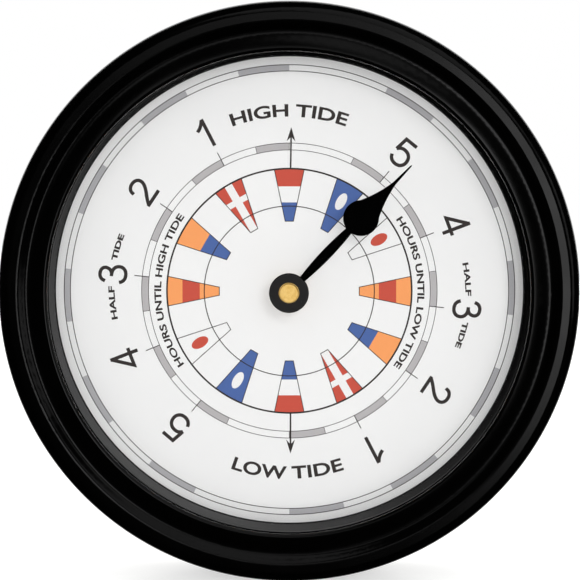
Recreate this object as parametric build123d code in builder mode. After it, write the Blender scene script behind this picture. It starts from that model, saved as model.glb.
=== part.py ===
from build123d import *
import os
from math import cos, radians, sin

# A round wall tide clock. Lengths are in millimetres. X points right as seen
# from the front, Z points up, and heights are measured forward from the wall,
# which is the plane y = 0. The hand turns about the Y axis.
os.makedirs("parts", exist_ok=True)

# Clearances
running_clear = 0.05
pivot_clear = 0.04
end_shake = 0.1
overrun = 1.0

# Bezel, seen in section
case_r = 89.0
rim_taper = 0.8
rim_chamfer = 0.8
rim_land = 1.4
shell_wall = 2.2
crown_wall = 2.6
shoulder_w = 4.2
shoulder_drop = 10.9
bezel_w = 15.9
lip_t = 1.9
bead_w = 1.1
bead_rise = 1.2
cove_depth = 0.8
cove_shift = 0.8
crown_land = 2.2
crest_step = 1.3
hollow_roof_drop = 1.0
hollow_flat_w = 2.0
quarter_turn = 90

# Glass, spacer ring and dial
glass_lip = 2.4
glass_t = 2.0
glass_chamfer = 0.3
glass_play = 0.3
glass_gap = 12.8
seat_wall = 1.8
spacer_play = 0.2
spacer_wall = 2.6
spacer_draft = 0.25
dial_margin = 0.8
dial_t = 1.0
dial_hole_play = 0.1

# Back cover, its screws and the keyhole
back_recess = 0.6
back_t = 2.0
back_play = 0.2
back_ledge = 0.8
window_play = 0.8
collar_wall = 1.6
collar_rise = 5.4
screw_count = 4
screw_r = 1.4
screw_length = 10.0
screw_head_r = 2.6
screw_head_t = 1.0
screw_head_play = 0.3
screw_cross_w = 0.7
screw_cross_l = 3.4
screw_cross_depth = 0.6
screw_bearing = 45
screw_boss_gap = 1.0
screw_boss_bite = 0.2
screw_boss_root = 1.3
keyhole_r = 4.5
keyhole_inset = 8.5
keyhole_slot_w = 4.4
keyhole_rise = 10.0

# Battery and the box of the movement round it
battery_r = 7.25
battery_l = 50.5
battery_edge = 0.8
battery_nub_r = 2.75
battery_nub_l = 1.2
battery_side_play = 0.25
battery_front_play = 0.3
battery_rear_cover = 0.2
battery_end_play = 0.15
contact_t = 0.4
contact_w = 9.0
spring_reach = 2.2
spring_t = 0.3
spring_h = 5.0
tongue_bite = 1.25
tongue_notch_play = 0.2
movement_recess = 1.2
movement_wall = 1.2
movement_corner = 2.0
movement_edge = 0.5
cover_corner = 1.0
bay_front_wall = 1.0
front_wall_min = 1.2
partition_t = 1.2
finger_notch_w = 16.0
finger_notch_depth = 7.0
cover_t = 1.2
cover_rim_t = 0.8
cover_rim_h = 0.8
cover_rim_play = 0.2

# Wheels: tooth counts and modules, which set the distances of the axes
tide_teeth = 69
intermediate_pinion_teeth = 20
intermediate_teeth = 54
centre_pinion_teeth = 15
knob_pinion_teeth = 18
clutch_teeth = 80
third_pinion_teeth = 10
third_teeth = 75
fourth_pinion_teeth = 10
fourth_teeth = 60
fifth_pinion_teeth = 12
fifth_teeth = 60
rotor_pinion_teeth = 10
setting_module = 0.30
train_module = 0.20
addendum_share = 0.75
dedendum_share = 1.2
tooth_root_share = 0.5
tooth_tip_share = 0.24

# Direction of each axis from the one before, in degrees from X towards Z
intermediate_bearing = 150
knob_bearing = 100
third_bearing = 19
fourth_bearing = 100
fifth_bearing = 20
rotor_bearing = -45

# Layers of the movement, from its rear cover forward
bearing_boss_h = 1.2
wheel_t = 0.8
layer_gap = 0.8
boss_gap = 0.4
bridge_t = 1.0
bridge_gap = 0.5
motion_wheel_t = 0.9
tide_wheel_t = 1.0
arbor_r = 0.6
pivot_r = 0.4
pivot_l = 0.8
bearing_r = 1.6
centre_arbor_r = 0.9
centre_spigot_r = 0.7
centre_spigot_l = 1.9
collar_r = 1.5
collar_t = 0.5
knob_r = 5.5
knob_ridges = 24
knob_ridge_w = 0.7
knob_ridge_depth = 0.4
knob_well_play = 0.8
knob_well_wall = 1.0
knob_well_depth = 3.0
knob_floor_gap = 0.3
knob_proud_gap = 0.1
knob_arbor_r = 1.0
knob_slot_w = 1.2
knob_slot_depth = 0.8
chamber_floor_gap = 2.5

# Stepping motor
magnet_r = 2.5
magnet_h = 2.8
magnet_gap = 0.4
stator_t = 1.0
stator_drop = 0.6
stator_neck = 0.65
stator_bar_w = 3.2
stator_slot_w = 0.7
stator_foot_r = 0.9
core_t = 1.0
core_w = 3.0
coil_flange_r = 2.8
coil_flange_t = 0.8
coil_tube_r = 1.9
coil_winding_r = 2.5
coil_gap = 1.1
coil_end_gap = 0.9
coil_l = 20.3
coil_top_play = 0.2
chamber_side_play = 0.9

# Bridge and circuit board
bridge_side_gap = 4.4
bridge_low_gap = 1.2
bridge_top_gap = 0.4
bridge_corner = 2.0
post_r = 1.3
post_inset = 2.0
board_w = 15.1
board_d = 12.4
board_t = 1.0
board_lift = 1.0
board_low_gap = 0.7
board_hole_play = 0.2
board_foot_r = 0.9
board_foot_inset = 1.8
chip_r = 2.4
chip_h = 1.2
chip_edge = 0.5
chip_inset = 5.5
crystal_r = 1.0
crystal_l = 6.0
crystal_inset = 1.6
crystal_base_t = 0.5
crystal_base_r = 1.15

# Fixing on the dial, the hand and its bush
bush_r = 4.0
bush_flange_r = 5.0
bush_flange_t = 0.8
bush_rise = 5.3
bush_chamfer = 0.4
thread_pitch = 0.75
thread_depth = 0.3
thread_count = 3
pipe_r = 2.5
pipe_end_r = 2.0
rubber_r = 12.0
rubber_t = 1.0
washer_r = 5.0
washer_t = 0.4
nut_r = 5.0
nut_t = 2.0
nut_slot_w = 1.4
nut_slot_depth = 1.0
nut_edge = 0.3
bush_gap = 0.5
hand_collar_r = 4.2
hand_collar_l = 3.4
brass_r = 2.96
brass_rise = 1.5
brass_front_t = 1.2
brass_edge_w = 0.2
brass_edge_l = 0.35
hand_t = 0.6
hub_r = 6.1
hub_t = 1.0
hub_edge = 0.15
hub_hole_play = 0.2
hub_bite = 0.5
hand_angle = 46.2
hand_length = 54.2
shaft_root_w = 1.9
shaft_bulge_w = 3.26
shaft_bulge_at = 17.0
shaft_neck_w = 2.3
spade_r = 5.48
spade_at = 31.8
shoulder_at = 35.6
waist_at = 40.4
waist_w = 4.0
needle_at = 46.5
needle_root_w = 1.08
needle_tip_w = 0.46

# Heights above the wall, built up from the sizes above
back_front_h = back_recess + back_t
rear_cover_h = movement_recess + cover_t
bearing_h = rear_cover_h + bearing_boss_h
fifth_h = bearing_h + boss_gap
fourth_h = fifth_h + wheel_t + layer_gap
third_h = fourth_h + wheel_t + layer_gap
clutch_h = third_h + wheel_t + layer_gap
bridge_h = clutch_h + wheel_t + layer_gap
bridge_front_h = bridge_h + bridge_t
setting_h = bridge_front_h + bridge_gap
tide_wheel_h = setting_h + motion_wheel_t + layer_gap
front_bearing_h = tide_wheel_h + tide_wheel_t + boss_gap
chamber_front_h = front_bearing_h + bush_flange_t
bay_depth = battery_rear_cover + 2 * battery_r + battery_front_play
bay_front_h = max(movement_recess + bay_depth, chamber_front_h + front_wall_min - bay_front_wall)
movement_front_h = bay_front_h + bay_front_wall
battery_h = bay_front_h - battery_front_play - battery_r
dial_back_h = movement_front_h + rubber_t
dial_front_h = dial_back_h + dial_t
bush_front_h = dial_front_h + bush_rise
hand_collar_h = bush_front_h + bush_gap
hand_h = hand_collar_h + hand_collar_l
brass_front_h = hand_h + hub_t + brass_rise
glass_back_h = dial_front_h + glass_gap
glass_front_h = glass_back_h + glass_t
lip_h = glass_front_h + lip_t
bead_h = lip_h + bead_rise
crest_h = bead_h + crest_step
shoulder_h = crest_h - shoulder_drop
hollow_roof_h = glass_front_h - hollow_roof_drop
board_h = rear_cover_h + board_lift
board_front_h = board_h + board_t
stator_h = clutch_h - stator_drop
tongue_low_h = board_h
tongue_high_h = battery_h - contact_w / 2 + tongue_bite
knob_floor_h = movement_recess + knob_well_depth

# Radii of the case
sight_r = case_r - bezel_w
bead_r = sight_r + bead_w
crest_r = case_r - shoulder_w
crown_r = crest_r - crown_land
glass_r = sight_r + glass_lip
seat_r = glass_r + glass_play
seat_outer_r = seat_r + seat_wall
dial_r = seat_outer_r + dial_margin
rim_r = case_r - rim_taper - rim_chamfer
cover_seat_r = rim_r - rim_land
ledge_r = cover_seat_r - back_ledge
screw_boss_r = (ledge_r + screw_boss_bite - dial_r - screw_boss_gap) / 2
screw_circle_r = ledge_r + screw_boss_bite - screw_boss_r
keyhole_z = seat_outer_r - seat_wall - keyhole_inset - keyhole_rise

# Module of the mesh that drives the tide wheel, which shares the distance
# between its two axes with the mesh in front of it
setting_distance = setting_module * (intermediate_teeth + centre_pinion_teeth) / 2
tide_module = 2 * setting_distance / (tide_teeth + intermediate_pinion_teeth)


def front(height):
    """Plane parallel to the wall, facing the viewer."""
    return Plane.XZ.offset(height)


def section():
    """Plane through the hand's axis: radius to the right, height upwards."""
    return Plane(origin=(0, 0, 0), x_dir=(1, 0, 0), z_dir=(0, 0, -1))


def away(spot, distance, bearing):
    """Point (x, z) at a distance and direction from another."""
    angle = radians(bearing)
    return (spot[0] + distance * cos(angle), spot[1] + distance * sin(angle))


def tip_radius(teeth, module):
    """Radius over the teeth of a wheel."""
    return module * (teeth / 2 + addendum_share)


def meshing_phase(teeth, phase, mate_teeth, bearing):
    """Direction of the mate's first tooth, so that teeth stand in gaps."""
    return bearing + 180 - (180 - teeth * (bearing - phase)) / mate_teeth


class Post(BasePartObject):
    """Round post square to the wall, between two heights."""

    def __init__(self, spot, low, high, radius, mode=Mode.ADD):
        with BuildPart() as post:
            with BuildSketch(front(low)):
                with Locations(spot):
                    Circle(radius)
            extrude(amount=high - low)
        super().__init__(part=post.part, mode=mode)


class Slab(BasePartObject):
    """Block square to the wall, between two corners (x, z) and two heights."""

    def __init__(self, corner, opposite, low, high, rounding=0, mode=Mode.ADD):
        middle = ((corner[0] + opposite[0]) / 2, (corner[1] + opposite[1]) / 2)
        with BuildPart() as slab:
            with BuildSketch(front(low)):
                with Locations(middle):
                    Rectangle(abs(opposite[0] - corner[0]), abs(opposite[1] - corner[1]))
            extrude(amount=high - low)
            if rounding:
                fillet(slab.edges().filter_by(Axis.Y), rounding)
        super().__init__(part=slab.part, mode=mode)


class Wheel(BasePartObject):
    """Toothed disc with one tooth centred on the phase direction."""

    def __init__(self, spot, low, high, teeth, module, phase=0, mode=Mode.ADD):
        root_r = module * (teeth / 2 - dedendum_share)
        corners = (
            (root_r, -tooth_root_share),
            (tip_radius(teeth, module), -tooth_tip_share),
            (tip_radius(teeth, module), tooth_tip_share),
            (root_r, tooth_root_share),
        )
        outline = []
        for tooth in range(teeth):
            for radius, side_share in corners:
                outline.append(away((0, 0), radius, phase + 360 * (tooth + side_share / 2) / teeth))
        with BuildPart() as wheel:
            with BuildSketch(front(low)):
                with Locations(spot):
                    Polygon(*outline, align=None)
            extrude(amount=high - low)
        super().__init__(part=wheel.part, mode=mode)


class Arbor(BasePartObject):
    """Arbor between two bearing faces, with a thinner pivot at each end."""

    def __init__(self, spot, low, high, radius=arbor_r, mode=Mode.ADD):
        with BuildPart() as arbor:
            Post(spot, low + end_shake, high - end_shake, radius)
            Post(spot, low + end_shake - pivot_l, high - end_shake + pivot_l, pivot_r)
        super().__init__(part=arbor.part, mode=mode)


# Axes of the wheels (x, z)
centre_spot = (0, 0)
intermediate_spot = away(centre_spot, setting_distance, intermediate_bearing)
knob_distance = setting_module * (intermediate_teeth + knob_pinion_teeth) / 2
knob_spot = away(intermediate_spot, knob_distance, knob_bearing)
third_distance = train_module * (clutch_teeth + third_pinion_teeth) / 2
third_spot = away(centre_spot, third_distance, third_bearing)
fourth_distance = train_module * (third_teeth + fourth_pinion_teeth) / 2
fourth_spot = away(third_spot, fourth_distance, fourth_bearing)
fifth_distance = train_module * (fourth_teeth + fifth_pinion_teeth) / 2
fifth_spot = away(fourth_spot, fifth_distance, fifth_bearing)
rotor_distance = train_module * (fifth_teeth + rotor_pinion_teeth) / 2
rotor_spot = away(fifth_spot, rotor_distance, rotor_bearing)

# Stator: a bar over the fifth wheel, a column down to the rotor on the left
# and a leg on the right, parted by a slot above the rotor
stator_hole_r = magnet_r + magnet_gap
column_left = rotor_spot[0] - stator_hole_r - stator_neck
column_right = rotor_spot[0] + stator_hole_r + stator_neck
stator_low = rotor_spot[1] - stator_hole_r - stator_neck
stator_shoulder = rotor_spot[1] + stator_hole_r + stator_neck
bar_low = fifth_spot[1] + post_r + arbor_r + 2 * running_clear + magnet_gap
bar_high = bar_low + stator_bar_w
leg_left = column_right + stator_slot_w
leg_right = leg_left + core_w
coil_z = bar_high + coil_gap + coil_flange_r
coil_h = stator_h - core_t / 2
tab_high = coil_z + core_w / 2
coil_left = leg_left - coil_end_gap - coil_l
tab_left = coil_left - coil_end_gap - core_w

# Box of the movement
chamber_low = -tip_radius(tide_teeth, tide_module) - chamber_floor_gap
chamber_high = coil_z + coil_flange_r + coil_top_play
bay_l = battery_l + 2 * battery_end_play + 2 * contact_t + spring_reach
chamber_side = max(bay_l / 2, leg_right + chamber_side_play)
bay_high = chamber_low - partition_t
bay_low = bay_high - 2 * (battery_r + battery_side_play)
battery_z = (bay_low + bay_high) / 2
box_side = chamber_side + movement_wall
box_low = bay_low - movement_wall
box_high = chamber_high + movement_wall

# Bridge, its posts and the circuit board
bridge_low = chamber_low + bridge_low_gap
bridge_high = bar_high + bridge_top_gap
bridge_side = chamber_side - bridge_side_gap
post_low = bridge_low + post_inset
post_high = bridge_high - post_inset
post_side = bridge_side - post_inset
post_spots = [(-post_side, post_low), (post_side, post_low), (-post_side, post_high)]
stator_post = (column_right - post_inset, post_high)
board_right = chamber_side - contact_t
board_left = board_right - board_w
board_low = chamber_low + board_low_gap
board_high = board_low + board_d

# Wheels' phases: each mate is turned so that its teeth stand in the gaps
intermediate_phase = meshing_phase(centre_pinion_teeth, 0, intermediate_teeth, intermediate_bearing)
knob_phase = meshing_phase(intermediate_teeth, intermediate_phase, knob_pinion_teeth, knob_bearing)
tide_phase = meshing_phase(intermediate_pinion_teeth, 0, tide_teeth, intermediate_bearing + 180)
third_phase = meshing_phase(clutch_teeth, 0, third_pinion_teeth, third_bearing)
fourth_phase = meshing_phase(third_teeth, 0, fourth_pinion_teeth, fourth_bearing)
fifth_phase = meshing_phase(fourth_teeth, 0, fifth_pinion_teeth, fifth_bearing)
rotor_phase = meshing_phase(fifth_teeth, 0, rotor_pinion_teeth, rotor_bearing)

# Front bezel: a hollow moulded ring, turned from its section, with a wall
# inside that seats the glass and bosses for the case screws
with BuildPart() as front_bezel:
    with BuildSketch(section()):
        with BuildLine():
            Line((cover_seat_r, 0), (rim_r, 0))
            Line((rim_r, 0), (rim_r + rim_chamfer, rim_chamfer))
            Line((rim_r + rim_chamfer, rim_chamfer), (case_r, shoulder_h))
            EllipticalCenterArc(
                (crest_r, shoulder_h),
                shoulder_w,
                shoulder_drop,
                start_angle=0,
                arc_size=quarter_turn,
            )
            Line((crest_r, crest_h), (crown_r, crest_h))
            cove_middle = ((bead_r + crown_r) / 2 + cove_shift, bead_h - cove_depth)
            Spline((crown_r, crest_h), cove_middle, tangents=((-1, 0), (-1, 0)))
            Spline(cove_middle, (bead_r, bead_h), tangents=((-1, 0), (-1, 0)))
            EllipticalCenterArc(
                (bead_r, lip_h),
                bead_w,
                bead_rise,
                start_angle=quarter_turn,
                arc_size=quarter_turn,
            )
            Polyline(
                (sight_r, lip_h),
                (sight_r, glass_front_h),
                (seat_r, glass_front_h),
                (seat_r, dial_front_h),
                (seat_outer_r, dial_front_h),
                (seat_outer_r, hollow_roof_h),
                (seat_outer_r + hollow_flat_w, hollow_roof_h),
                (crest_r, crest_h - crown_wall),
            )
            EllipticalCenterArc(
                (crest_r, shoulder_h),
                shoulder_w - shell_wall,
                shoulder_drop - crown_wall,
                start_angle=0,
                arc_size=quarter_turn,
            )
            Polyline(
                (case_r - shell_wall, shoulder_h),
                (ledge_r, back_front_h),
                (cover_seat_r, back_front_h),
                (cover_seat_r, 0),
            )
        make_face()
    revolve(axis=Axis.Y)
    with BuildSketch(front(back_front_h)):
        with PolarLocations(screw_circle_r, screw_count, start_angle=screw_bearing):
            Circle(screw_boss_r)
    extrude(amount=hollow_roof_h + screw_boss_root - back_front_h)
    with BuildSketch(front(back_front_h)):
        with PolarLocations(screw_circle_r, screw_count, start_angle=screw_bearing):
            Circle(screw_r)
    extrude(amount=screw_length, mode=Mode.SUBTRACT)
front_bezel.part.label = "front_bezel"
export_step(front_bezel.part, "parts/front_bezel.step")

# Glass: a flat disc behind the bezel's lip
with BuildPart() as lens:
    Post(centre_spot, glass_back_h, glass_front_h, glass_r)
    chamfer(lens.edges().filter_by(GeomType.CIRCLE), glass_chamfer)
lens.part.label = "lens"
export_step(lens.part, "parts/lens.step")

# Spacer ring: stands on the dial and carries the glass
with BuildPart() as spacer_ring:
    spacer_r = seat_r - spacer_play
    with BuildSketch(section()):
        with BuildLine():
            Polyline(
                (spacer_r - spacer_wall + spacer_draft, dial_front_h),
                (spacer_r, dial_front_h),
                (spacer_r, glass_back_h),
                (spacer_r - spacer_wall, glass_back_h),
                close=True,
            )
        make_face()
    revolve(axis=Axis.Y)
spacer_ring.part.label = "spacer_ring"
export_step(spacer_ring.part, "parts/spacer_ring.step")

# Dial: a thin plate clamped against the bezel's inner wall
with BuildPart() as dial_plate:
    Post(centre_spot, dial_back_h, dial_front_h, dial_r)
    Post(centre_spot, dial_back_h, dial_front_h, bush_r + dial_hole_play, mode=Mode.SUBTRACT)
dial_plate.part.label = "dial_plate"
export_step(dial_plate.part, "parts/dial_plate.step")

# Back cover: disc in the bezel's rear rim, with a rib that holds the dial, a
# collared window for the movement, screw pockets and the hanging keyhole
with BuildPart() as back_cover:
    window_side = box_side + window_play
    window_low = box_low - window_play
    window_high = box_high + window_play
    Post(centre_spot, back_recess, back_front_h, cover_seat_r - back_play)
    Post(centre_spot, back_front_h, dial_back_h, seat_outer_r)
    Post(centre_spot, back_front_h, dial_back_h, seat_outer_r - seat_wall, mode=Mode.SUBTRACT)
    Slab(
        (-window_side - collar_wall, window_low - collar_wall),
        (window_side + collar_wall, window_high + collar_wall),
        back_front_h,
        back_front_h + collar_rise,
        movement_corner + window_play + collar_wall,
    )
    Slab(
        (-window_side, window_low),
        (window_side, window_high),
        back_recess - overrun,
        back_front_h + collar_rise + overrun,
        movement_corner + window_play,
        mode=Mode.SUBTRACT,
    )
    with BuildSketch(front(back_recess)):
        with PolarLocations(screw_circle_r, screw_count, start_angle=screw_bearing):
            Circle(screw_head_r + screw_head_play)
    extrude(amount=screw_head_t, mode=Mode.SUBTRACT)
    with BuildSketch(front(back_recess)):
        with PolarLocations(screw_circle_r, screw_count, start_angle=screw_bearing):
            Circle(screw_r)
    extrude(amount=back_t, mode=Mode.SUBTRACT)
    with BuildSketch(front(back_recess)):
        with Locations((0, keyhole_z)):
            Circle(keyhole_r)
        with Locations((0, keyhole_z + keyhole_rise / 2)):
            SlotCenterToCenter(keyhole_rise, keyhole_slot_w, rotation=90)
    extrude(amount=back_t, mode=Mode.SUBTRACT)
back_cover.part.label = "back_cover"
export_step(back_cover.part, "parts/back_cover.step")

# Case screws: pan heads with a cross recess, driven from the back
with BuildPart() as case_screws:
    with BuildSketch(front(back_recess)):
        with PolarLocations(screw_circle_r, screw_count, start_angle=screw_bearing):
            Circle(screw_head_r)
    extrude(amount=screw_head_t)
    with BuildSketch(front(back_recess + screw_head_t)):
        with PolarLocations(screw_circle_r, screw_count, start_angle=screw_bearing):
            Circle(screw_r)
    extrude(amount=back_t - screw_head_t + screw_length)
    with BuildSketch(front(back_recess)):
        with PolarLocations(screw_circle_r, screw_count, start_angle=screw_bearing):
            Rectangle(screw_cross_l, screw_cross_w)
            Rectangle(screw_cross_w, screw_cross_l)
    extrude(amount=screw_cross_depth, mode=Mode.SUBTRACT)
case_screws.part.label = "case_screws"
export_step(case_screws.part, "parts/case_screws.step")

# Rubber washer between the movement and the dial
with BuildPart() as rubber_washer:
    Post(centre_spot, movement_front_h, dial_back_h, rubber_r)
    Post(centre_spot, movement_front_h, dial_back_h, bush_r, mode=Mode.SUBTRACT)
rubber_washer.part.label = "rubber_washer"
export_step(rubber_washer.part, "parts/rubber_washer.step")

# Brass washer in front of the dial
with BuildPart() as fixing_washer:
    Post(centre_spot, dial_front_h, dial_front_h + washer_t, washer_r)
    Post(centre_spot, dial_front_h, dial_front_h + washer_t, bush_r, mode=Mode.SUBTRACT)
fixing_washer.part.label = "fixing_washer"
export_step(fixing_washer.part, "parts/fixing_washer.step")

# Round nut with two spanner slots
with BuildPart() as dial_nut:
    nut_h = dial_front_h + washer_t
    Post(centre_spot, nut_h, nut_h + nut_t, nut_r)
    chamfer(dial_nut.faces().sort_by(Axis.Y)[0].edges(), nut_edge)
    Post(centre_spot, nut_h, nut_h + nut_t, bush_r, mode=Mode.SUBTRACT)
    Slab(
        (-nut_r, -nut_slot_w / 2),
        (nut_r, nut_slot_w / 2),
        nut_h + nut_t - nut_slot_depth,
        nut_h + nut_t,
        mode=Mode.SUBTRACT,
    )
dial_nut.part.label = "dial_nut"
export_step(dial_nut.part, "parts/dial_nut.step")

# Threaded bush: flanged inside the movement, its thread drawn as grooves
with BuildPart() as threaded_bush:
    Post(centre_spot, front_bearing_h, chamber_front_h, bush_flange_r)
    Post(centre_spot, chamber_front_h, bush_front_h, bush_r)
    chamfer(threaded_bush.faces().sort_by(Axis.Y)[0].edges(), bush_chamfer)
    with BuildSketch(section()):
        with BuildLine():
            groove_h = bush_front_h - bush_chamfer - thread_pitch
            Polyline(
                (bush_r, groove_h - thread_pitch / 2),
                (bush_r - thread_depth, groove_h),
                (bush_r, groove_h + thread_pitch / 2),
                close=True,
            )
        make_face()
    groove = revolve(axis=Axis.Y, mode=Mode.PRIVATE)
    with Locations([(0, turn * thread_pitch, 0) for turn in range(thread_count)]):
        add(groove, mode=Mode.SUBTRACT)
    Post(centre_spot, front_bearing_h, bush_front_h, pipe_r + running_clear, mode=Mode.SUBTRACT)
threaded_bush.part.label = "threaded_bush"
export_step(threaded_bush.part, "parts/threaded_bush.step")

# Movement housing: open to the rear, the wheels' chamber above and the
# battery bay below, with front bearings for the two setting arbors
with BuildPart() as movement_housing:
    Slab(
        (-box_side, box_low), (box_side, box_high), movement_recess, movement_front_h, movement_corner
    )
    chamfer(movement_housing.faces().sort_by(Axis.Y)[0].edges(), movement_edge)
    Slab(
        (-chamber_side, chamber_low),
        (chamber_side, chamber_high),
        movement_recess,
        chamber_front_h,
        mode=Mode.SUBTRACT,
    )
    Slab(
        (-box_side, bay_high),
        (box_side, box_high),
        movement_recess,
        rear_cover_h,
        mode=Mode.SUBTRACT,
    )
    Slab(
        (-chamber_side, bay_low),
        (chamber_side, bay_high),
        movement_recess,
        bay_front_h,
        mode=Mode.SUBTRACT,
    )
    for side in (-1, 1):
        Slab(
            (side * chamber_side, bay_high),
            (side * (chamber_side - contact_t - tongue_notch_play), chamber_low),
            rear_cover_h,
            tongue_high_h + tongue_notch_play,
            mode=Mode.SUBTRACT,
        )
    Slab(
        (-finger_notch_w / 2, box_low),
        (finger_notch_w / 2, bay_low),
        movement_recess,
        movement_recess + finger_notch_depth,
        mode=Mode.SUBTRACT,
    )
    for spot in (intermediate_spot, knob_spot):
        Post(spot, front_bearing_h, chamber_front_h, bearing_r)
        Post(
            spot,
            front_bearing_h,
            front_bearing_h + pivot_l,
            pivot_r + pivot_clear,
            mode=Mode.SUBTRACT,
        )
    Post(centre_spot, chamber_front_h, movement_front_h, bush_r, mode=Mode.SUBTRACT)
movement_housing.part.label = "movement_housing"
export_step(movement_housing.part, "parts/movement_housing.step")

# Rear cover of the movement: closes the wheels' chamber, with rear bearings,
# feet for the circuit board and the stator, and the well of the setting knob
with BuildPart() as movement_rear_cover:
    knob_well_r = knob_r + knob_well_play
    Slab(
        (-box_side, bay_high), (box_side, box_high), movement_recess, rear_cover_h, cover_corner
    )
    rim_side = chamber_side - cover_rim_play
    rim_low = chamber_low + cover_rim_play
    rim_high = chamber_high - cover_rim_play
    Slab((-rim_side, rim_low), (rim_side, rim_high), rear_cover_h, rear_cover_h + cover_rim_h)
    Slab(
        (-rim_side + cover_rim_t, rim_low + cover_rim_t),
        (rim_side - cover_rim_t, rim_high - cover_rim_t),
        rear_cover_h,
        rear_cover_h + cover_rim_h,
        mode=Mode.SUBTRACT,
    )
    Post(knob_spot, rear_cover_h, knob_floor_h + knob_well_wall, knob_well_r + knob_well_wall)
    Post(knob_spot, movement_recess, knob_floor_h, knob_well_r, mode=Mode.SUBTRACT)
    Post(
        knob_spot,
        knob_floor_h,
        knob_floor_h + knob_well_wall,
        knob_arbor_r + running_clear,
        mode=Mode.SUBTRACT,
    )
    for spot in (centre_spot, third_spot, fourth_spot, fifth_spot, rotor_spot):
        Post(spot, rear_cover_h, bearing_h, bearing_r)
        Post(
            spot, bearing_h - pivot_l, bearing_h, pivot_r + pivot_clear, mode=Mode.SUBTRACT
        )
    for spot in (
        (board_left + board_foot_inset, board_low + board_foot_inset),
        (board_right - board_foot_inset, board_high - board_foot_inset),
    ):
        Post(spot, rear_cover_h, board_h, board_foot_r)
    Post(
        ((leg_left + leg_right) / 2, stator_low + core_w / 2), rear_cover_h, stator_h, stator_foot_r
    )
    Post((tab_left + core_w / 2, coil_z), rear_cover_h, stator_h - core_t, stator_foot_r)
movement_rear_cover.part.label = "movement_rear_cover"
export_step(movement_rear_cover.part, "parts/movement_rear_cover.step")

# Train bridge: the middle plate, on four posts, with the front bearings of
# the running train and the rear bearing of the intermediate wheel
with BuildPart() as train_bridge:
    Slab(
        (-bridge_side, bridge_low), (bridge_side, bridge_high), bridge_h, bridge_front_h, bridge_corner
    )
    for spot in post_spots + [stator_post]:
        Post(spot, rear_cover_h, bridge_h, post_r)
    for spot in (third_spot, fourth_spot, fifth_spot, rotor_spot, intermediate_spot):
        Post(spot, bridge_h, bridge_front_h, pivot_r + pivot_clear, mode=Mode.SUBTRACT)
    Post(
        centre_spot, bridge_h, bridge_front_h, centre_arbor_r + running_clear, mode=Mode.SUBTRACT
    )
    Post(knob_spot, bridge_h, bridge_front_h, knob_arbor_r + running_clear, mode=Mode.SUBTRACT)
train_bridge.part.label = "train_bridge"
export_step(train_bridge.part, "parts/train_bridge.step")

# Tide wheel: one turn in 12 h 25 min, with the pipe that carries the hand
with BuildPart() as tide_wheel:
    pipe_step_h = bush_front_h + bush_gap / 2
    brass_back_h = brass_front_h - brass_front_t
    Wheel(
        centre_spot, tide_wheel_h, tide_wheel_h + tide_wheel_t, tide_teeth, tide_module, tide_phase
    )
    Post(centre_spot, tide_wheel_h + tide_wheel_t, pipe_step_h, pipe_r)
    Post(centre_spot, pipe_step_h, brass_back_h, pipe_end_r)
    Post(
        centre_spot,
        tide_wheel_h,
        tide_wheel_h + centre_spigot_l,
        centre_spigot_r + running_clear,
        mode=Mode.SUBTRACT,
    )
tide_wheel.part.label = "tide_wheel"
export_step(tide_wheel.part, "parts/tide_wheel.step")

# Intermediate wheel, driven by the centre pinion, with the pinion that
# drives the tide wheel
with BuildPart() as intermediate_wheel:
    Arbor(intermediate_spot, bridge_front_h, front_bearing_h)
    Wheel(
        intermediate_spot,
        setting_h,
        setting_h + motion_wheel_t,
        intermediate_teeth,
        setting_module,
        intermediate_phase,
    )
    Wheel(
        intermediate_spot,
        setting_h + motion_wheel_t,
        tide_wheel_h + tide_wheel_t,
        intermediate_pinion_teeth,
        tide_module,
    )
intermediate_wheel.part.label = "intermediate_wheel"
export_step(intermediate_wheel.part, "parts/intermediate_wheel.step")

# Centre arbor: carries the clutch wheel between two collars and drives the
# intermediate wheel with its pinion
with BuildPart() as centre_arbor:
    spigot_end_h = tide_wheel_h + centre_spigot_l - end_shake
    Post(centre_spot, bearing_h + end_shake, setting_h + motion_wheel_t, centre_arbor_r)
    Post(centre_spot, bearing_h + end_shake - pivot_l, bearing_h + end_shake, pivot_r)
    Post(centre_spot, clutch_h - end_shake - collar_t, clutch_h - end_shake, collar_r)
    clutch_front_h = clutch_h + wheel_t + end_shake
    Post(centre_spot, clutch_front_h, clutch_front_h + collar_t, collar_r)
    Wheel(
        centre_spot, setting_h, setting_h + motion_wheel_t, centre_pinion_teeth, setting_module
    )
    Post(centre_spot, setting_h + motion_wheel_t, spigot_end_h, centre_spigot_r)
centre_arbor.part.label = "centre_arbor"
export_step(centre_arbor.part, "parts/centre_arbor.step")

# Clutch wheel: grips the centre arbor by friction and slips when the hand is set
with BuildPart() as clutch_wheel:
    Wheel(centre_spot, clutch_h, clutch_h + wheel_t, clutch_teeth, train_module)
    Post(
        centre_spot, clutch_h, clutch_h + wheel_t, centre_arbor_r + running_clear, mode=Mode.SUBTRACT
    )
clutch_wheel.part.label = "clutch_wheel"
export_step(clutch_wheel.part, "parts/clutch_wheel.step")

# Third wheel and its pinion, which drives the clutch wheel
with BuildPart() as third_wheel:
    Arbor(third_spot, bearing_h, bridge_h)
    Wheel(third_spot, third_h, third_h + wheel_t, third_teeth, train_module)
    Wheel(
        third_spot,
        third_h + wheel_t,
        clutch_h + wheel_t,
        third_pinion_teeth,
        train_module,
        third_phase,
    )
third_wheel.part.label = "third_wheel"
export_step(third_wheel.part, "parts/third_wheel.step")

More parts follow.
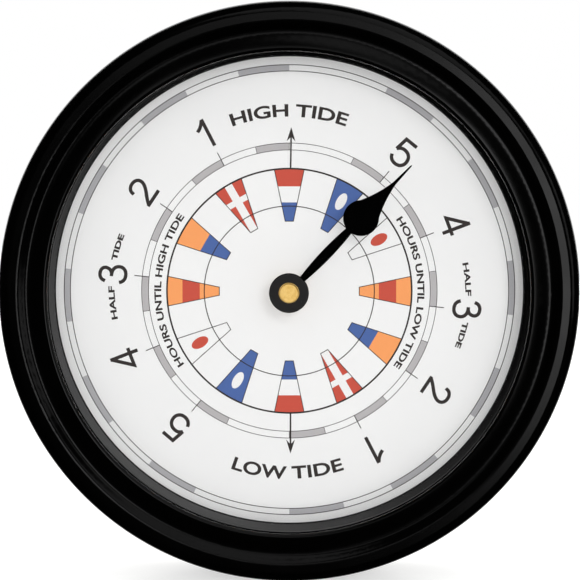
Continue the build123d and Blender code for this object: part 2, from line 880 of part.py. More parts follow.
# Fourth wheel and its pinion, which drives the third wheel
with BuildPart() as fourth_wheel:
    Arbor(fourth_spot, bearing_h, bridge_h)
    Wheel(fourth_spot, fourth_h, fourth_h + wheel_t, fourth_teeth, train_module)
    Wheel(
        fourth_spot,
        fourth_h + wheel_t,
        third_h + wheel_t,
        fourth_pinion_teeth,
        train_module,
        fourth_phase,
    )
fourth_wheel.part.label = "fourth_wheel"
export_step(fourth_wheel.part, "parts/fourth_wheel.step")

# Fifth wheel and its pinion, which drives the fourth wheel
with BuildPart() as fifth_wheel:
    Arbor(fifth_spot, bearing_h, bridge_h)
    Wheel(fifth_spot, fifth_h, fifth_h + wheel_t, fifth_teeth, train_module)
    Wheel(
        fifth_spot,
        fifth_h + wheel_t,
        fourth_h + wheel_t,
        fifth_pinion_teeth,
        train_module,
        fifth_phase,
    )
fifth_wheel.part.label = "fifth_wheel"
export_step(fifth_wheel.part, "parts/fifth_wheel.step")

# Rotor: a round magnet and the pinion that drives the fifth wheel
with BuildPart() as rotor:
    magnet_low_h = stator_h + stator_t / 2 - magnet_h / 2
    Arbor(rotor_spot, bearing_h, bridge_h)
    Post(rotor_spot, magnet_low_h, magnet_low_h + magnet_h, magnet_r)
    Wheel(
        rotor_spot, fifth_h, fifth_h + wheel_t, rotor_pinion_teeth, train_module, rotor_phase
    )
rotor.part.label = "rotor"
export_step(rotor.part, "parts/rotor.step")

# Stator plate round the rotor
with BuildPart() as stator:
    stator_front_h = stator_h + stator_t
    Slab((column_left, stator_low), (column_right, bar_high), stator_h, stator_front_h)
    Slab((tab_left, bar_low), (column_right, bar_high), stator_h, stator_front_h)
    Slab((tab_left, bar_low), (tab_left + core_w, tab_high), stator_h, stator_front_h)
    Slab((leg_left, stator_low), (leg_right, tab_high), stator_h, stator_front_h)
    Slab((column_right, stator_low), (leg_left, stator_shoulder), stator_h, stator_front_h)
    Post(rotor_spot, stator_h, stator_front_h, stator_hole_r, mode=Mode.SUBTRACT)
    Post(stator_post, stator_h, stator_front_h, post_r + running_clear, mode=Mode.SUBTRACT)
stator.part.label = "stator"
export_step(stator.part, "parts/stator.step")

# Coil core: an iron strip behind the stator's two tabs
with BuildPart() as coil_core:
    Slab(
        (tab_left, coil_z - core_w / 2),
        (leg_right, coil_z + core_w / 2),
        stator_h - core_t,
        stator_h,
    )
coil_core.part.label = "coil_core"
export_step(coil_core.part, "parts/coil_core.step")

# Coil bobbin and its copper winding, turned about the core
with BuildPart() as coil_bobbin:
    coil_plane = Plane(origin=(coil_left, -coil_h, coil_z), x_dir=(0, 0, 1), z_dir=(1, 0, 0))
    with BuildSketch(coil_plane):
        Circle(coil_tube_r)
    extrude(amount=coil_l)
    with BuildSketch(coil_plane, coil_plane.offset(coil_l - coil_flange_t)):
        Circle(coil_flange_r)
    extrude(amount=coil_flange_t)
    with BuildSketch(coil_plane):
        Rectangle(core_w, core_t)
    extrude(amount=coil_l, mode=Mode.SUBTRACT)
coil_bobbin.part.label = "coil_bobbin"
export_step(coil_bobbin.part, "parts/coil_bobbin.step")

with BuildPart() as coil_winding:
    with BuildSketch(coil_plane.offset(coil_flange_t)):
        Circle(coil_winding_r)
        Circle(coil_tube_r, mode=Mode.SUBTRACT)
    extrude(amount=coil_l - 2 * coil_flange_t)
coil_winding.part.label = "coil_winding"
export_step(coil_winding.part, "parts/coil_winding.step")

# Circuit board, located by one post of the bridge
with BuildPart() as circuit_board:
    Slab((board_left, board_low), (board_right, board_high), board_h, board_front_h)
    Post(
        (post_side, post_low),
        board_h,
        board_front_h,
        post_r + board_hole_play,
        mode=Mode.SUBTRACT,
    )
circuit_board.part.label = "circuit_board"
export_step(circuit_board.part, "parts/circuit_board.step")

# Resin cap over the chip
with BuildPart() as chip_cap:
    chip_spot = (board_left + chip_inset, board_low + chip_inset)
    Post(chip_spot, board_front_h, board_front_h + chip_h, chip_r)
    fillet(chip_cap.faces().sort_by(Axis.Y)[0].edges(), chip_edge)
chip_cap.part.label = "chip_cap"
export_step(chip_cap.part, "parts/chip_cap.step")

# Quartz crystal in its can, lying on the board
with BuildPart() as quartz_crystal:
    can_plane = Plane(
        origin=(
            board_left + chip_inset,
            -board_front_h - crystal_base_r,
            board_high - crystal_inset,
        ),
        x_dir=(0, 0, 1),
        z_dir=(1, 0, 0),
    )
    with BuildSketch(can_plane):
        Circle(crystal_base_r)
    extrude(amount=crystal_base_t)
    with BuildSketch(can_plane):
        Circle(crystal_r)
    extrude(amount=crystal_l)
quartz_crystal.part.label = "quartz_crystal"
export_step(quartz_crystal.part, "parts/quartz_crystal.step")

# Positive contact at the bay's right end, with a tongue to the board
with BuildPart() as positive_contact:
    Slab(
        (chamber_side - contact_t, battery_z - contact_w / 2),
        (chamber_side, battery_z + contact_w / 2),
        battery_h - contact_w / 2,
        battery_h + contact_w / 2,
    )
    Slab(
        (chamber_side - contact_t, battery_z),
        (chamber_side, board_high),
        tongue_low_h,
        tongue_high_h,
    )
positive_contact.part.label = "positive_contact"
export_step(positive_contact.part, "parts/positive_contact.step")

# Negative contact at the left end, with a bowed leaf spring and a strip that
# runs along the partition to the board
with BuildPart() as negative_contact:
    Slab(
        (-chamber_side, battery_z - contact_w / 2),
        (-chamber_side + contact_t, battery_z + contact_w / 2),
        battery_h - contact_w / 2,
        battery_h + contact_w / 2,
    )
    Slab(
        (-chamber_side, battery_z),
        (-chamber_side + contact_t, chamber_low + contact_t),
        tongue_low_h,
        tongue_high_h,
    )
    Slab(
        (-chamber_side, chamber_low),
        (board_left, chamber_low + contact_t),
        tongue_low_h,
        tongue_high_h,
    )
    Slab(
        (board_left - contact_t, chamber_low),
        (board_left, board_low + contact_t),
        tongue_low_h,
        tongue_high_h,
    )
    leaf_x = -chamber_side + contact_t
    with BuildSketch(front(battery_h - spring_h / 2)):
        with BuildLine():
            ThreePointArc(
                (leaf_x, battery_z - contact_w / 2),
                (leaf_x + spring_reach, battery_z),
                (leaf_x, battery_z + contact_w / 2),
            )
            Line(
                (leaf_x, battery_z + contact_w / 2),
                (leaf_x, battery_z + contact_w / 2 - spring_t * 2),
            )
            ThreePointArc(
                (leaf_x, battery_z + contact_w / 2 - spring_t * 2),
                (leaf_x + spring_reach - spring_t, battery_z),
                (leaf_x, battery_z - contact_w / 2 + spring_t * 2),
            )
            Line(
                (leaf_x, battery_z - contact_w / 2 + spring_t * 2),
                (leaf_x, battery_z - contact_w / 2),
            )
        make_face()
    extrude(amount=spring_h)
negative_contact.part.label = "negative_contact"
export_step(negative_contact.part, "parts/negative_contact.step")

# Setting knob: knurled disc in the well, with its arbor and pinion
with BuildPart() as setting_knob:
    knob_back_h = movement_recess + knob_proud_gap
    knob_front_h = knob_floor_h - knob_floor_gap
    Post(knob_spot, knob_back_h, knob_front_h, knob_r)
    with BuildSketch(front(knob_back_h)):
        with Locations(knob_spot):
            with PolarLocations(knob_r, knob_ridges):
                Rectangle(2 * knob_ridge_depth, knob_ridge_w)
    extrude(amount=knob_front_h - knob_back_h, mode=Mode.SUBTRACT)
    with BuildSketch(front(knob_back_h)):
        with Locations(knob_spot):
            Rectangle(knob_r, knob_slot_w)
    extrude(amount=knob_slot_depth, mode=Mode.SUBTRACT)
    Post(knob_spot, knob_front_h, front_bearing_h - end_shake, knob_arbor_r)
    Post(knob_spot, front_bearing_h - end_shake, front_bearing_h - end_shake + pivot_l, pivot_r)
    Wheel(
        knob_spot,
        setting_h,
        setting_h + motion_wheel_t,
        knob_pinion_teeth,
        setting_module,
        knob_phase,
    )
setting_knob.part.label = "setting_knob"
export_step(setting_knob.part, "parts/setting_knob.step")

# Battery cell, lying across the bay with its positive nub to the right
with BuildPart() as battery_cell:
    nub_x = chamber_side - contact_t - battery_end_play
    body_x = nub_x - battery_l
    cell_plane = Plane(origin=(body_x, -battery_h, battery_z), x_dir=(0, 0, 1), z_dir=(1, 0, 0))
    with BuildSketch(cell_plane):
        Circle(battery_r)
    extrude(amount=battery_l - battery_nub_l)
    chamfer(battery_cell.edges().filter_by(GeomType.CIRCLE), battery_edge)
    with BuildSketch(cell_plane):
        Circle(battery_nub_r)
    extrude(amount=battery_l)
battery_cell.part.label = "battery_cell"
export_step(battery_cell.part, "parts/battery_cell.step")

# Hand bush: brass, pressed on the tide wheel's pipe, closed in front
with BuildPart() as hand_bush:
    Post(centre_spot, hand_collar_h, hand_h, hand_collar_r)
    Post(centre_spot, hand_h, brass_front_h, brass_r)
    chamfer(
        hand_bush.faces().sort_by(Axis.Y)[0].edges(),
        brass_edge_w,
        brass_edge_l,
        reference=hand_bush.faces().sort_by(Axis.Y)[0],
    )
    Post(centre_spot, hand_collar_h, brass_back_h, pipe_end_r, mode=Mode.SUBTRACT)
hand_bush.part.label = "hand_bush"
export_step(hand_bush.part, "parts/hand_bush.step")

# Tide hand: a spade with a bowed shaft and a needle point, drawn along its
# own axis and turned to its rest direction
with BuildPart() as tide_hand:
    direction = radians(hand_angle)
    hand_plane = Plane(
        origin=(0, -hand_h, 0), x_dir=(cos(direction), 0, sin(direction)), z_dir=(0, -1, 0)
    )
    shaft_root_at = hub_r - hub_bite
    spade_root_at = spade_at - (spade_r**2 - (shaft_neck_w / 2) ** 2) ** 0.5
    shoulder_w_half = (spade_r**2 - (shoulder_at - spade_at) ** 2) ** 0.5
    with BuildSketch(hand_plane):
        with BuildLine():
            Line((shaft_root_at, 0), (shaft_root_at, shaft_root_w / 2))
            ThreePointArc(
                (shaft_root_at, shaft_root_w / 2),
                (shaft_bulge_at, shaft_bulge_w / 2),
                (spade_root_at, shaft_neck_w / 2),
            )
            ThreePointArc(
                (spade_root_at, shaft_neck_w / 2),
                (spade_at, spade_r),
                (shoulder_at, shoulder_w_half),
            )
            Spline(
                (shoulder_at, shoulder_w_half),
                (waist_at, waist_w / 2),
                (needle_at, needle_root_w / 2),
            )
            Line((needle_at, needle_root_w / 2), (hand_length - needle_tip_w, needle_tip_w / 2))
            Line((hand_length - needle_tip_w, needle_tip_w / 2), (hand_length, 0))
            mirror(about=Plane.XZ)
        make_face()
    extrude(amount=hand_t)
    with BuildSketch(hand_plane):
        Circle(hub_r)
    extrude(amount=hub_t)
    hub_rim = tide_hand.edges().filter_by(GeomType.CIRCLE).sort_by(Axis.Y)[0]
    chamfer(hub_rim, hub_edge)
    with BuildSketch(hand_plane):
        Circle(brass_r + hub_hole_play)
    extrude(amount=hub_t, mode=Mode.SUBTRACT)
tide_hand.part.label = "tide_hand"
export_step(tide_hand.part, "parts/tide_hand.step")
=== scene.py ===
import logging
import math
from dataclasses import dataclass
from enum import Enum

import bmesh
import bpy
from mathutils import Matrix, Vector


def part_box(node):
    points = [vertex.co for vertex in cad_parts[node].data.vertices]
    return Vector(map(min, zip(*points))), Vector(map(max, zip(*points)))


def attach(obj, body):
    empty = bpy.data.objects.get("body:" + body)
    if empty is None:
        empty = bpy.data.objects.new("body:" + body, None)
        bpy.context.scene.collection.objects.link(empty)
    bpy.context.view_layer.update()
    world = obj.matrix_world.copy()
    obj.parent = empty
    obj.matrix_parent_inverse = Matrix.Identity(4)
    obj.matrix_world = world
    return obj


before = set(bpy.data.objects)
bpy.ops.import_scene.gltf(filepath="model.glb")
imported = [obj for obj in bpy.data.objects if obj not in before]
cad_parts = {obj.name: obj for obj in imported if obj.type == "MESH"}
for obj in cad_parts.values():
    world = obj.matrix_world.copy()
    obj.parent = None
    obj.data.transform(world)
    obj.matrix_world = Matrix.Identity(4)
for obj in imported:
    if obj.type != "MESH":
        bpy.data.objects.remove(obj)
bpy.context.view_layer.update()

LOG = logging.getLogger("tide_clock")
MM = 0.001
CASE = "case"
Point = tuple[float, float]
NodeInputs = dict[str | int, object]
# Most of a noise texture's values lie between these
NOISE_SPAN = (0.3, 0.7)
# A sharp turn in a pen stroke reaches out no further than this share allows
MITRE_LIMIT = 0.35


# ---------------------------------------------------------------- small tools


def linear(hex_colour: str) -> tuple[float, float, float, float]:
    """Turns an sRGB hex colour into the linear colour that a shader takes.

    Args:
        hex_colour: six hex digits after a hash.

    Returns:
        Red, green, blue and an alpha of one.
    """
    channels = [int(hex_colour[i : i + 2], 16) / 255 for i in (1, 3, 5)]
    toned = [c / 12.92 if c <= 0.04045 else ((c + 0.055) / 1.055) ** 2.4 for c in channels]
    return (toned[0], toned[1], toned[2], 1.0)


def add_node(
    tree: bpy.types.NodeTree, kind: str, inputs: NodeInputs | None = None, **settings: object
) -> bpy.types.Node:
    """Adds a node to a tree, with its settings, constants and links.

    Args:
        tree: the node tree that takes it.
        kind: the node's type name.
        inputs: for each input, by name or number, a constant or the output it is fed from.
        settings: properties of the node itself.

    Returns:
        The new node.
    """
    node = tree.nodes.new(kind)
    for name, value in settings.items():
        setattr(node, name, value)
    for key, value in (inputs or {}).items():
        if isinstance(value, bpy.types.NodeSocket):
            tree.links.new(value, node.inputs[key])
        else:
            node.inputs[key].default_value = value
    return node


def start_material(
    name: str,
) -> tuple[bpy.types.Material, bpy.types.NodeTree, bpy.types.NodeSocket]:
    """Starts a material on an empty tree.

    Args:
        name: the material's name.

    Returns:
        The material, its tree, and the piece's own coordinates for its patterns.
    """
    material = bpy.data.materials.new(name)
    material.use_nodes = True
    tree = material.node_tree
    tree.nodes.clear()
    return material, tree, add_node(tree, "ShaderNodeTexCoord").outputs["Object"]


def wave_scale(pitch_mm: float) -> float:
    """Scale at which a wave texture repeats at a pitch: 2 pi over 20 times the pitch."""
    return 2 * math.pi / (20 * pitch_mm * MM)


def clockwise(angle: float, radius: float) -> Point:
    """Point (x, z) on the dial at a clockwise angle from 12, in degrees, and a radius."""
    turn = math.radians(angle)
    return (radius * math.sin(turn), radius * math.cos(turn))


def placed(spot: Point, angle: float, radius: float, tilt: float = 0.0) -> Point:
    """Turns a spot drawn upright at the dial's centre to stand outwards at an angle.

    Args:
        spot: the point, right and up from the drawing's own base point, in millimetres.
        angle: clockwise angle from 12 that the drawing stands at, in degrees.
        radius: distance of its base point from the dial's centre, in millimetres.
        tilt: further clockwise turn about the base point, in degrees.

    Returns:
        The point (x, z) on the dial, in millimetres.
    """
    base = clockwise(angle, radius)
    turn = math.radians(angle + tilt)
    right, up = spot
    return (
        base[0] + right * math.cos(turn) + up * math.sin(turn),
        base[1] - right * math.sin(turn) + up * math.cos(turn),
    )


def smooth(points: list[Point], steps: int = 6) -> list[Point]:
    """Runs a smooth curve through points.

    Args:
        points: the points that it passes.
        steps: pieces between each two points.

    Returns:
        The points of the curve.
    """
    line = [points[0], *points, points[-1]]
    curve = []
    for i in range(1, len(line) - 2):
        for s in range(steps):
            t = s / steps
            curve.append(
                tuple(
                    0.5
                    * (
                        2 * line[i][k]
                        + (line[i + 1][k] - line[i - 1][k]) * t
                        + (
                            2 * line[i - 1][k]
                            - 5 * line[i][k]
                            + 4 * line[i + 1][k]
                            - line[i + 2][k]
                        )
                        * t**2
                        + (3 * line[i][k] - line[i - 1][k] - 3 * line[i + 1][k] + line[i + 2][k])
                        * t**3
                    )
                    for k in (0, 1)
                )
            )
    return curve + [points[-1]]


def stroke(path: list[Point], width: float) -> list[Point]:
    """Outline of a pen stroke of even width along a path, with square ends.

    Args:
        path: the points of its middle line.
        width: the pen's width.

    Returns:
        The outline as one closed polygon.
    """
    sides: tuple[list[Point], list[Point]] = ([], [])
    for i, point in enumerate(path):
        before = Vector(point) - Vector(path[max(i - 1, 0)])
        after = Vector(path[min(i + 1, len(path) - 1)]) - Vector(point)
        first = (before if before.length else after).normalized()
        second = (after if after.length else before).normalized()
        across = Vector((-(first + second).y, (first + second).x)).normalized()
        reach = width / 2 / max(across.dot(Vector((-first.y, first.x))), MITRE_LIMIT)
        for side, sign in zip(sides, (1, -1)):
            side.append((point[0] + sign * reach * across.x, point[1] + sign * reach * across.y))
    return sides[0] + sides[1][::-1]


def link(name: str, mesh: bpy.types.Mesh) -> bpy.types.Object:
    """Makes an object of a mesh, in the scene and at the origin.

    Args:
        name: the object's name.
        mesh: its mesh.

    Returns:
        The object.
    """
    piece = bpy.data.objects.new(name, mesh)
    bpy.context.scene.collection.objects.link(piece)
    return piece


def prisms(name: str, outlines: list[tuple[list[Point], float, float]]) -> bpy.types.Object:
    """Makes one piece of flat closed plates that stand on the dial.

    Args:
        name: the piece's name.
        outlines: for each plate its outline (x, z) and its back and front height, in millimetres.

    Returns:
        The piece, with every face outwards.
    """
    shape = bmesh.new()
    for outline, back, front in outlines:
        low = [shape.verts.new((x * MM, -back * MM, z * MM)) for x, z in outline]
        high = [shape.verts.new((x * MM, -front * MM, z * MM)) for x, z in outline]
        shape.faces.new(low)
        shape.faces.new(high[::-1])
        for i in range(len(low)):
            k = (i + 1) % len(low)
            shape.faces.new((low[k], low[i], high[i], high[k]))
    bmesh.ops.recalc_face_normals(shape, faces=shape.faces)
    bmesh.ops.triangulate(shape, faces=[f for f in shape.faces if len(f.verts) > 4])
    mesh = bpy.data.meshes.new(name)
    shape.to_mesh(mesh)
    shape.free()
    return link(name, mesh)


def lathe(
    name: str, section: list[Point], steps: int, centre: Point = (0.0, 0.0)
) -> bpy.types.Object:
    """Turns a closed section about an axis square to the dial.

    Args:
        name: the piece's name.
        section: the section's corners as radius and height above the wall, in millimetres.
        steps: pieces round the turn.
        centre: where the axis stands (x, z), in millimetres.

    Returns:
        The turned piece, with every face outwards.
    """
    shape = bmesh.new()
    rings = []
    for i in range(steps):
        turn = 2 * math.pi * i / steps
        rings.append(
            [
                shape.verts.new(
                    (
                        (centre[0] + r * math.cos(turn)) * MM,
                        -h * MM,
                        (centre[1] + r * math.sin(turn)) * MM,
                    )
                )
                for r, h in section
            ]
        )
    for i in range(steps):
        here, there = rings[i], rings[(i + 1) % steps]
        for k in range(len(section)):
            n = (k + 1) % len(section)
            shape.faces.new((here[k], here[n], there[n], there[k]))
    bmesh.ops.recalc_face_normals(shape, faces=shape.faces)
    mesh = bpy.data.meshes.new(name)
    shape.to_mesh(mesh)
    shape.free()
    return link(name, mesh)


def finish_piece(
    piece: bpy.types.Object, material: bpy.types.Material, body: str, slot: str
) -> None:
    """Dresses a piece and says what it rides on and where its finish is kept.

    Args:
        piece: the piece.
        material: the material that it takes.
        body: the body that it rides on.
        slot: the record's slot of its finish.
    """
    if not piece.data.materials:
        piece.data.materials.append(material)
    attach(piece, body)
    LOG.info("piece %s rides on %s, slot %s", piece.name, body, slot)


def dress_node(name: str, material: bpy.types.Material) -> None:
    """Gives a CAD node its material.

    Args:
        name: the node's name.
        material: the material that it takes.
    """
    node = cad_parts[name]
    if not node.material_slots:
        node.data.materials.append(material)
    for place in node.material_slots:
        place.material = material
    LOG.info("node %s is %s", name, material.name)


# ------------------------------------------------------------------- finishes


@dataclass(frozen=True)
class MouldedPlastic:
    """Injection-moulded plastic, smooth from a polished tool or grained by a sparked one.

    A fine grain breaks up its shine, the shine drifts a little from place to place, and
    handling leaves faint duller patches.
    """

    name: str
    colour: str
    worn_colour: str
    roughness: float
    roughness_drift: float
    grain_mm: float
    grain_depth_mm: float
    ior: float = 1.53
    patch_mm: float = 14.0
    matt_within_mm: float = 0.0
    matt_edge_mm: float = 0.02
    shine_level: float = 0.5
    wear_span: Point = (0.45, 0.75)

    def material(self) -> bpy.types.Material:
        """Builds the material. Nearer the clock's axis than the matt radius it has no shine."""
        material, tree, place = start_material(self.name)
        patches = add_node(
            tree,
            "ShaderNodeTexNoise",
            {"Vector": place, "Scale": 1 / (self.patch_mm * MM), "Detail": 4.0},
        )
        level: float | bpy.types.NodeSocket = self.shine_level
        if self.matt_within_mm:
            flat = add_node(
                tree, "ShaderNodeVectorMath", {0: place, 1: (1.0, 0.0, 1.0)}, operation="MULTIPLY"
            )
            reach = add_node(
                tree, "ShaderNodeVectorMath", {0: flat.outputs["Vector"]}, operation="LENGTH"
            )
            level = add_node(
                tree,
                "ShaderNodeMapRange",
                {
                    "Value": reach.outputs["Value"],
                    "From Min": self.matt_within_mm * MM,
                    "From Max": (self.matt_within_mm + self.matt_edge_mm) * MM,
                    "To Max": self.shine_level,
                },
            ).outputs["Result"]
        grain = add_node(
            tree,
            "ShaderNodeTexNoise",
            {"Vector": place, "Scale": 1 / (self.grain_mm * MM), "Detail": 2.0},
        )
        tone = add_node(
            tree,
            "ShaderNodeMapRange",
            {
                "Value": patches.outputs["Fac"],
                "From Min": self.wear_span[0],
                "From Max": self.wear_span[1],
            },
        )
        colour = add_node(
            tree,
            "ShaderNodeMix",
            {
                0: tone.outputs["Result"],
                6: linear(self.colour),
                7: linear(self.worn_colour),
            },
            data_type="RGBA",
        )
        shine = add_node(
            tree,
            "ShaderNodeMapRange",
            {
                "Value": patches.outputs["Fac"],
                "From Min": NOISE_SPAN[0],
                "From Max": NOISE_SPAN[1],
                "To Min": self.roughness,
                "To Max": self.roughness + self.roughness_drift,
            },
        )
        relief = add_node(
            tree,
            "ShaderNodeBump",
            {
                "Height": grain.outputs["Fac"],
                "Distance": self.grain_depth_mm * MM,
                "Strength": 1.0,
            },
        )
        shader = add_node(
            tree,
            "ShaderNodeBsdfPrincipled",
            {
                "Base Color": colour.outputs[2],
                "Roughness": shine.outputs["Result"],
                "Specular IOR Level": level,
                "Normal": relief.outputs["Normal"],
                "IOR": self.ior,
            },
        )
        add_node(tree, "ShaderNodeOutputMaterial", {"Surface": shader.outputs[0]})
        return material


@dataclass(frozen=True)
class Metal:
    """Metal with fine marks of its making: turned rings, or the short marks of a stamping."""

    name: str
    colour: str
    dull_colour: str
    roughness: float
    roughness_drift: float
    mark_mm: float
    mark_depth_mm: float
    turned: bool = False
    patch_mm: float = 2.0
    ring_waver: float = 0.6
    dull_span: Point = (0.35, 0.7)

    def material(self) -> bpy.types.Material:
        """Builds the material."""
        material, tree, place = start_material(self.name)
        patches = add_node(
            tree,
            "ShaderNodeTexNoise",
            {"Vector": place, "Scale": 1 / (self.patch_mm * MM), "Detail": 3.0},
        )
        if self.turned:
            marks = add_node(
                tree,
                "ShaderNodeTexWave",
                {
                    "Vector": place,
                    "Scale": wave_scale(self.mark_mm),
                    "Distortion": self.ring_waver,
                    "Detail": 1.0,
                },
                wave_type="RINGS",
                rings_direction="Y",
            )
        else:
            marks = add_node(
                tree,
                "ShaderNodeTexNoise",
                {"Vector": place, "Scale": 1 / (self.mark_mm * MM), "Detail": 2.0},
            )
        tone = add_node(
            tree,
            "ShaderNodeMapRange",
            {
                "Value": patches.outputs["Fac"],
                "From Min": self.dull_span[0],
                "From Max": self.dull_span[1],
            },
        )
        colour = add_node(
            tree,
            "ShaderNodeMix",
            {0: tone.outputs["Result"], 6: linear(self.colour), 7: linear(self.dull_colour)},
            data_type="RGBA",
        )
        shine = add_node(
            tree,
            "ShaderNodeMapRange",
            {
                "Value": patches.outputs["Fac"],
                "From Min": NOISE_SPAN[0],
                "From Max": NOISE_SPAN[1],
                "To Min": self.roughness,
                "To Max": self.roughness + self.roughness_drift,
            },
        )
        relief = add_node(
            tree,
            "ShaderNodeBump",
            {
                "Height": marks.outputs["Fac"],
                "Distance": self.mark_depth_mm * MM,
                "Strength": 1.0,
            },
        )
        shader = add_node(
            tree,
            "ShaderNodeBsdfPrincipled",
            {
                "Base Color": colour.outputs[2],
                "Metallic": 1.0,
                "Roughness": shine.outputs["Result"],
                "Normal": relief.outputs["Normal"],
            },
        )
        add_node(tree, "ShaderNodeOutputMaterial", {"Surface": shader.outputs[0]})
        return material


@dataclass(frozen=True)
class CoatedSheet:
    """Aluminium sheet with a baked matt white coat, the dial's ground.

    The coat has a faint cloud in its white and a fine stipple that keeps it from mirroring.
    """

    name: str = "matt white coated aluminium"
    colour: str = "#f3f3f2"
    cloud_colour: str = "#eeeeee"
    roughness: float = 0.55
    stipple_mm: float = 0.35
    stipple_depth_mm: float = 0.002
    cloud_mm: float = 30.0
    ior: float = 1.48

    def material(self) -> bpy.types.Material:
        """Builds the material."""
        material, tree, place = start_material(self.name)
        cloud = add_node(
            tree,
            "ShaderNodeTexNoise",
            {"Vector": place, "Scale": 1 / (self.cloud_mm * MM), "Detail": 3.0},
        )
        stipple = add_node(
            tree,
            "ShaderNodeTexNoise",
            {"Vector": place, "Scale": 1 / (self.stipple_mm * MM), "Detail": 1.0},
        )
        colour = add_node(
            tree,
            "ShaderNodeMix",
            {
                0: cloud.outputs["Fac"],
                6: linear(self.colour),
                7: linear(self.cloud_colour),
            },
            data_type="RGBA",
        )
        relief = add_node(
            tree,
            "ShaderNodeBump",
            {
                "Height": stipple.outputs["Fac"],
                "Distance": self.stipple_depth_mm * MM,
                "Strength": 1.0,
            },
        )
        shader = add_node(
            tree,
            "ShaderNodeBsdfPrincipled",
            {
                "Base Color": colour.outputs[2],
                "Roughness": self.roughness,
                "Normal": relief.outputs["Normal"],
                "IOR": self.ior,
            },
        )
        add_node(tree, "ShaderNodeOutputMaterial", {"Surface": shader.outputs[0]})
        return material


@dataclass(frozen=True)
class ScreenInk:
    """Screen-printed ink: a flat matt film whose density wavers a little with the mesh."""

    name: str
    colour: str
    thin_colour: str
    roughness: float = 0.75
    mesh_mm: float = 0.4
    ior: float = 1.45

    def material(self) -> bpy.types.Material:
        """Builds the material."""
        material, tree, place = start_material(self.name)
        density = add_node(
            tree,
            "ShaderNodeTexNoise",
            {"Vector": place, "Scale": 1 / (self.mesh_mm * MM), "Detail": 3.0},
        )
        colour = add_node(
            tree,
            "ShaderNodeMix",
            {
                0: density.outputs["Fac"],
                6: linear(self.colour),
                7: linear(self.thin_colour),
            },
            data_type="RGBA",
        )
        shader = add_node(
            tree,
            "ShaderNodeBsdfPrincipled",
            {"Base Color": colour.outputs[2], "Roughness": self.roughness, "IOR": self.ior},
        )
        add_node(tree, "ShaderNodeOutputMaterial", {"Surface": shader.outputs[0]})
        return material


@dataclass(frozen=True)
class FloatGlass:
    """Clear float glass, polished flat: it shows mostly by what it mirrors, and by smears."""

    name: str = "clear float glass"
    colour: str = "#ffffff"
    smear_mm: float = 25.0
    smear_roughness: float = 0.02
    ior: float = 1.5

    def material(self) -> bpy.types.Material:
        """Builds the material. Lamps shine through it, so that the dial is lit."""
        material, tree, place = start_material(self.name)
        smear = add_node(
            tree,
            "ShaderNodeTexNoise",
            {"Vector": place, "Scale": 1 / (self.smear_mm * MM), "Detail": 2.0},
        )
        haze = add_node(
            tree,
            "ShaderNodeMapRange",
            {"Value": smear.outputs["Fac"], "To Min": 0.0, "To Max": self.smear_roughness},
        )
        glass = add_node(
            tree,
            "ShaderNodeBsdfPrincipled",
            {
                "Base Color": linear(self.colour),
                "Roughness": haze.outputs["Result"],
                "Transmission Weight": 1.0,
                "IOR": self.ior,
            },
        )
        clear = add_node(tree, "ShaderNodeBsdfTransparent", {"Color": linear(self.colour)})
        rays = add_node(tree, "ShaderNodeLightPath")
        both = add_node(
            tree,
            "ShaderNodeMixShader",
            {
                0: rays.outputs["Is Shadow Ray"],
                1: glass.outputs[0],
                2: clear.outputs[0],
            },
        )
        add_node(tree, "ShaderNodeOutputMaterial", {"Surface": both.outputs[0]})
        return material


@dataclass(frozen=True)
class HandEnamel:
    """Black stoving enamel on a stamped hand: a jet black blade and a duller hub, whose greyer
    colour is partly painted sheen.
    """

    name: str = "black stoving enamel"
    blade_colour: str = "#010101"
    # The hub's colour is lifted above the blade's as painted sheen, for the grey of its satin
    # shine.
    sheen_grey_hub_colour: str = "#100f11"
    blade_roughness: float = 0.04
    hub_roughness: float = 0.74
    hub_r: float = 5.7
    blend_mm: float = 0.12
    speck_mm: float = 0.25
    speck_depth_mm: float = 0.0015
    ior: float = 1.5

    def material(self) -> bpy.types.Material:
        """Builds the material, with the hub told from the blade by its distance from the axis."""
        material, tree, place = start_material(self.name)
        flat = add_node(
            tree, "ShaderNodeVectorMath", {0: place, 1: (1.0, 0.0, 1.0)}, operation="MULTIPLY"
        )
        reach = add_node(
            tree, "ShaderNodeVectorMath", {0: flat.outputs["Vector"]}, operation="LENGTH"
        )
        beyond = add_node(
            tree,
            "ShaderNodeMapRange",
            {
                "Value": reach.outputs["Value"],
                "From Min": (self.hub_r - self.blend_mm) * MM,
                "From Max": (self.hub_r + self.blend_mm) * MM,
            },
        )
        speck = add_node(
            tree,
            "ShaderNodeTexNoise",
            {"Vector": place, "Scale": 1 / (self.speck_mm * MM), "Detail": 2.0},
        )
        colour = add_node(
            tree,
            "ShaderNodeMix",
            {
                0: beyond.outputs["Result"],
                6: linear(self.sheen_grey_hub_colour),
                7: linear(self.blade_colour),
            },
            data_type="RGBA",
        )
        shine = add_node(
            tree,
            "ShaderNodeMapRange",
            {
                "Value": beyond.outputs["Result"],
                "To Min": self.hub_roughness,
                "To Max": self.blade_roughness,
            },
        )
        relief = add_node(
            tree,
            "ShaderNodeBump",
            {
                "Height": speck.outputs["Fac"],
                "Distance": self.speck_depth_mm * MM,
                "Strength": 1.0,
            },
        )
        shader = add_node(
            tree,
            "ShaderNodeBsdfPrincipled",
            {
                "Base Color": colour.outputs[2],
                "Roughness": shine.outputs["Result"],
                "Normal": relief.outputs["Normal"],
                "IOR": self.ior,
            },
        )
        add_node(tree, "ShaderNodeOutputMaterial", {"Surface": shader.outputs[0]})
        return material


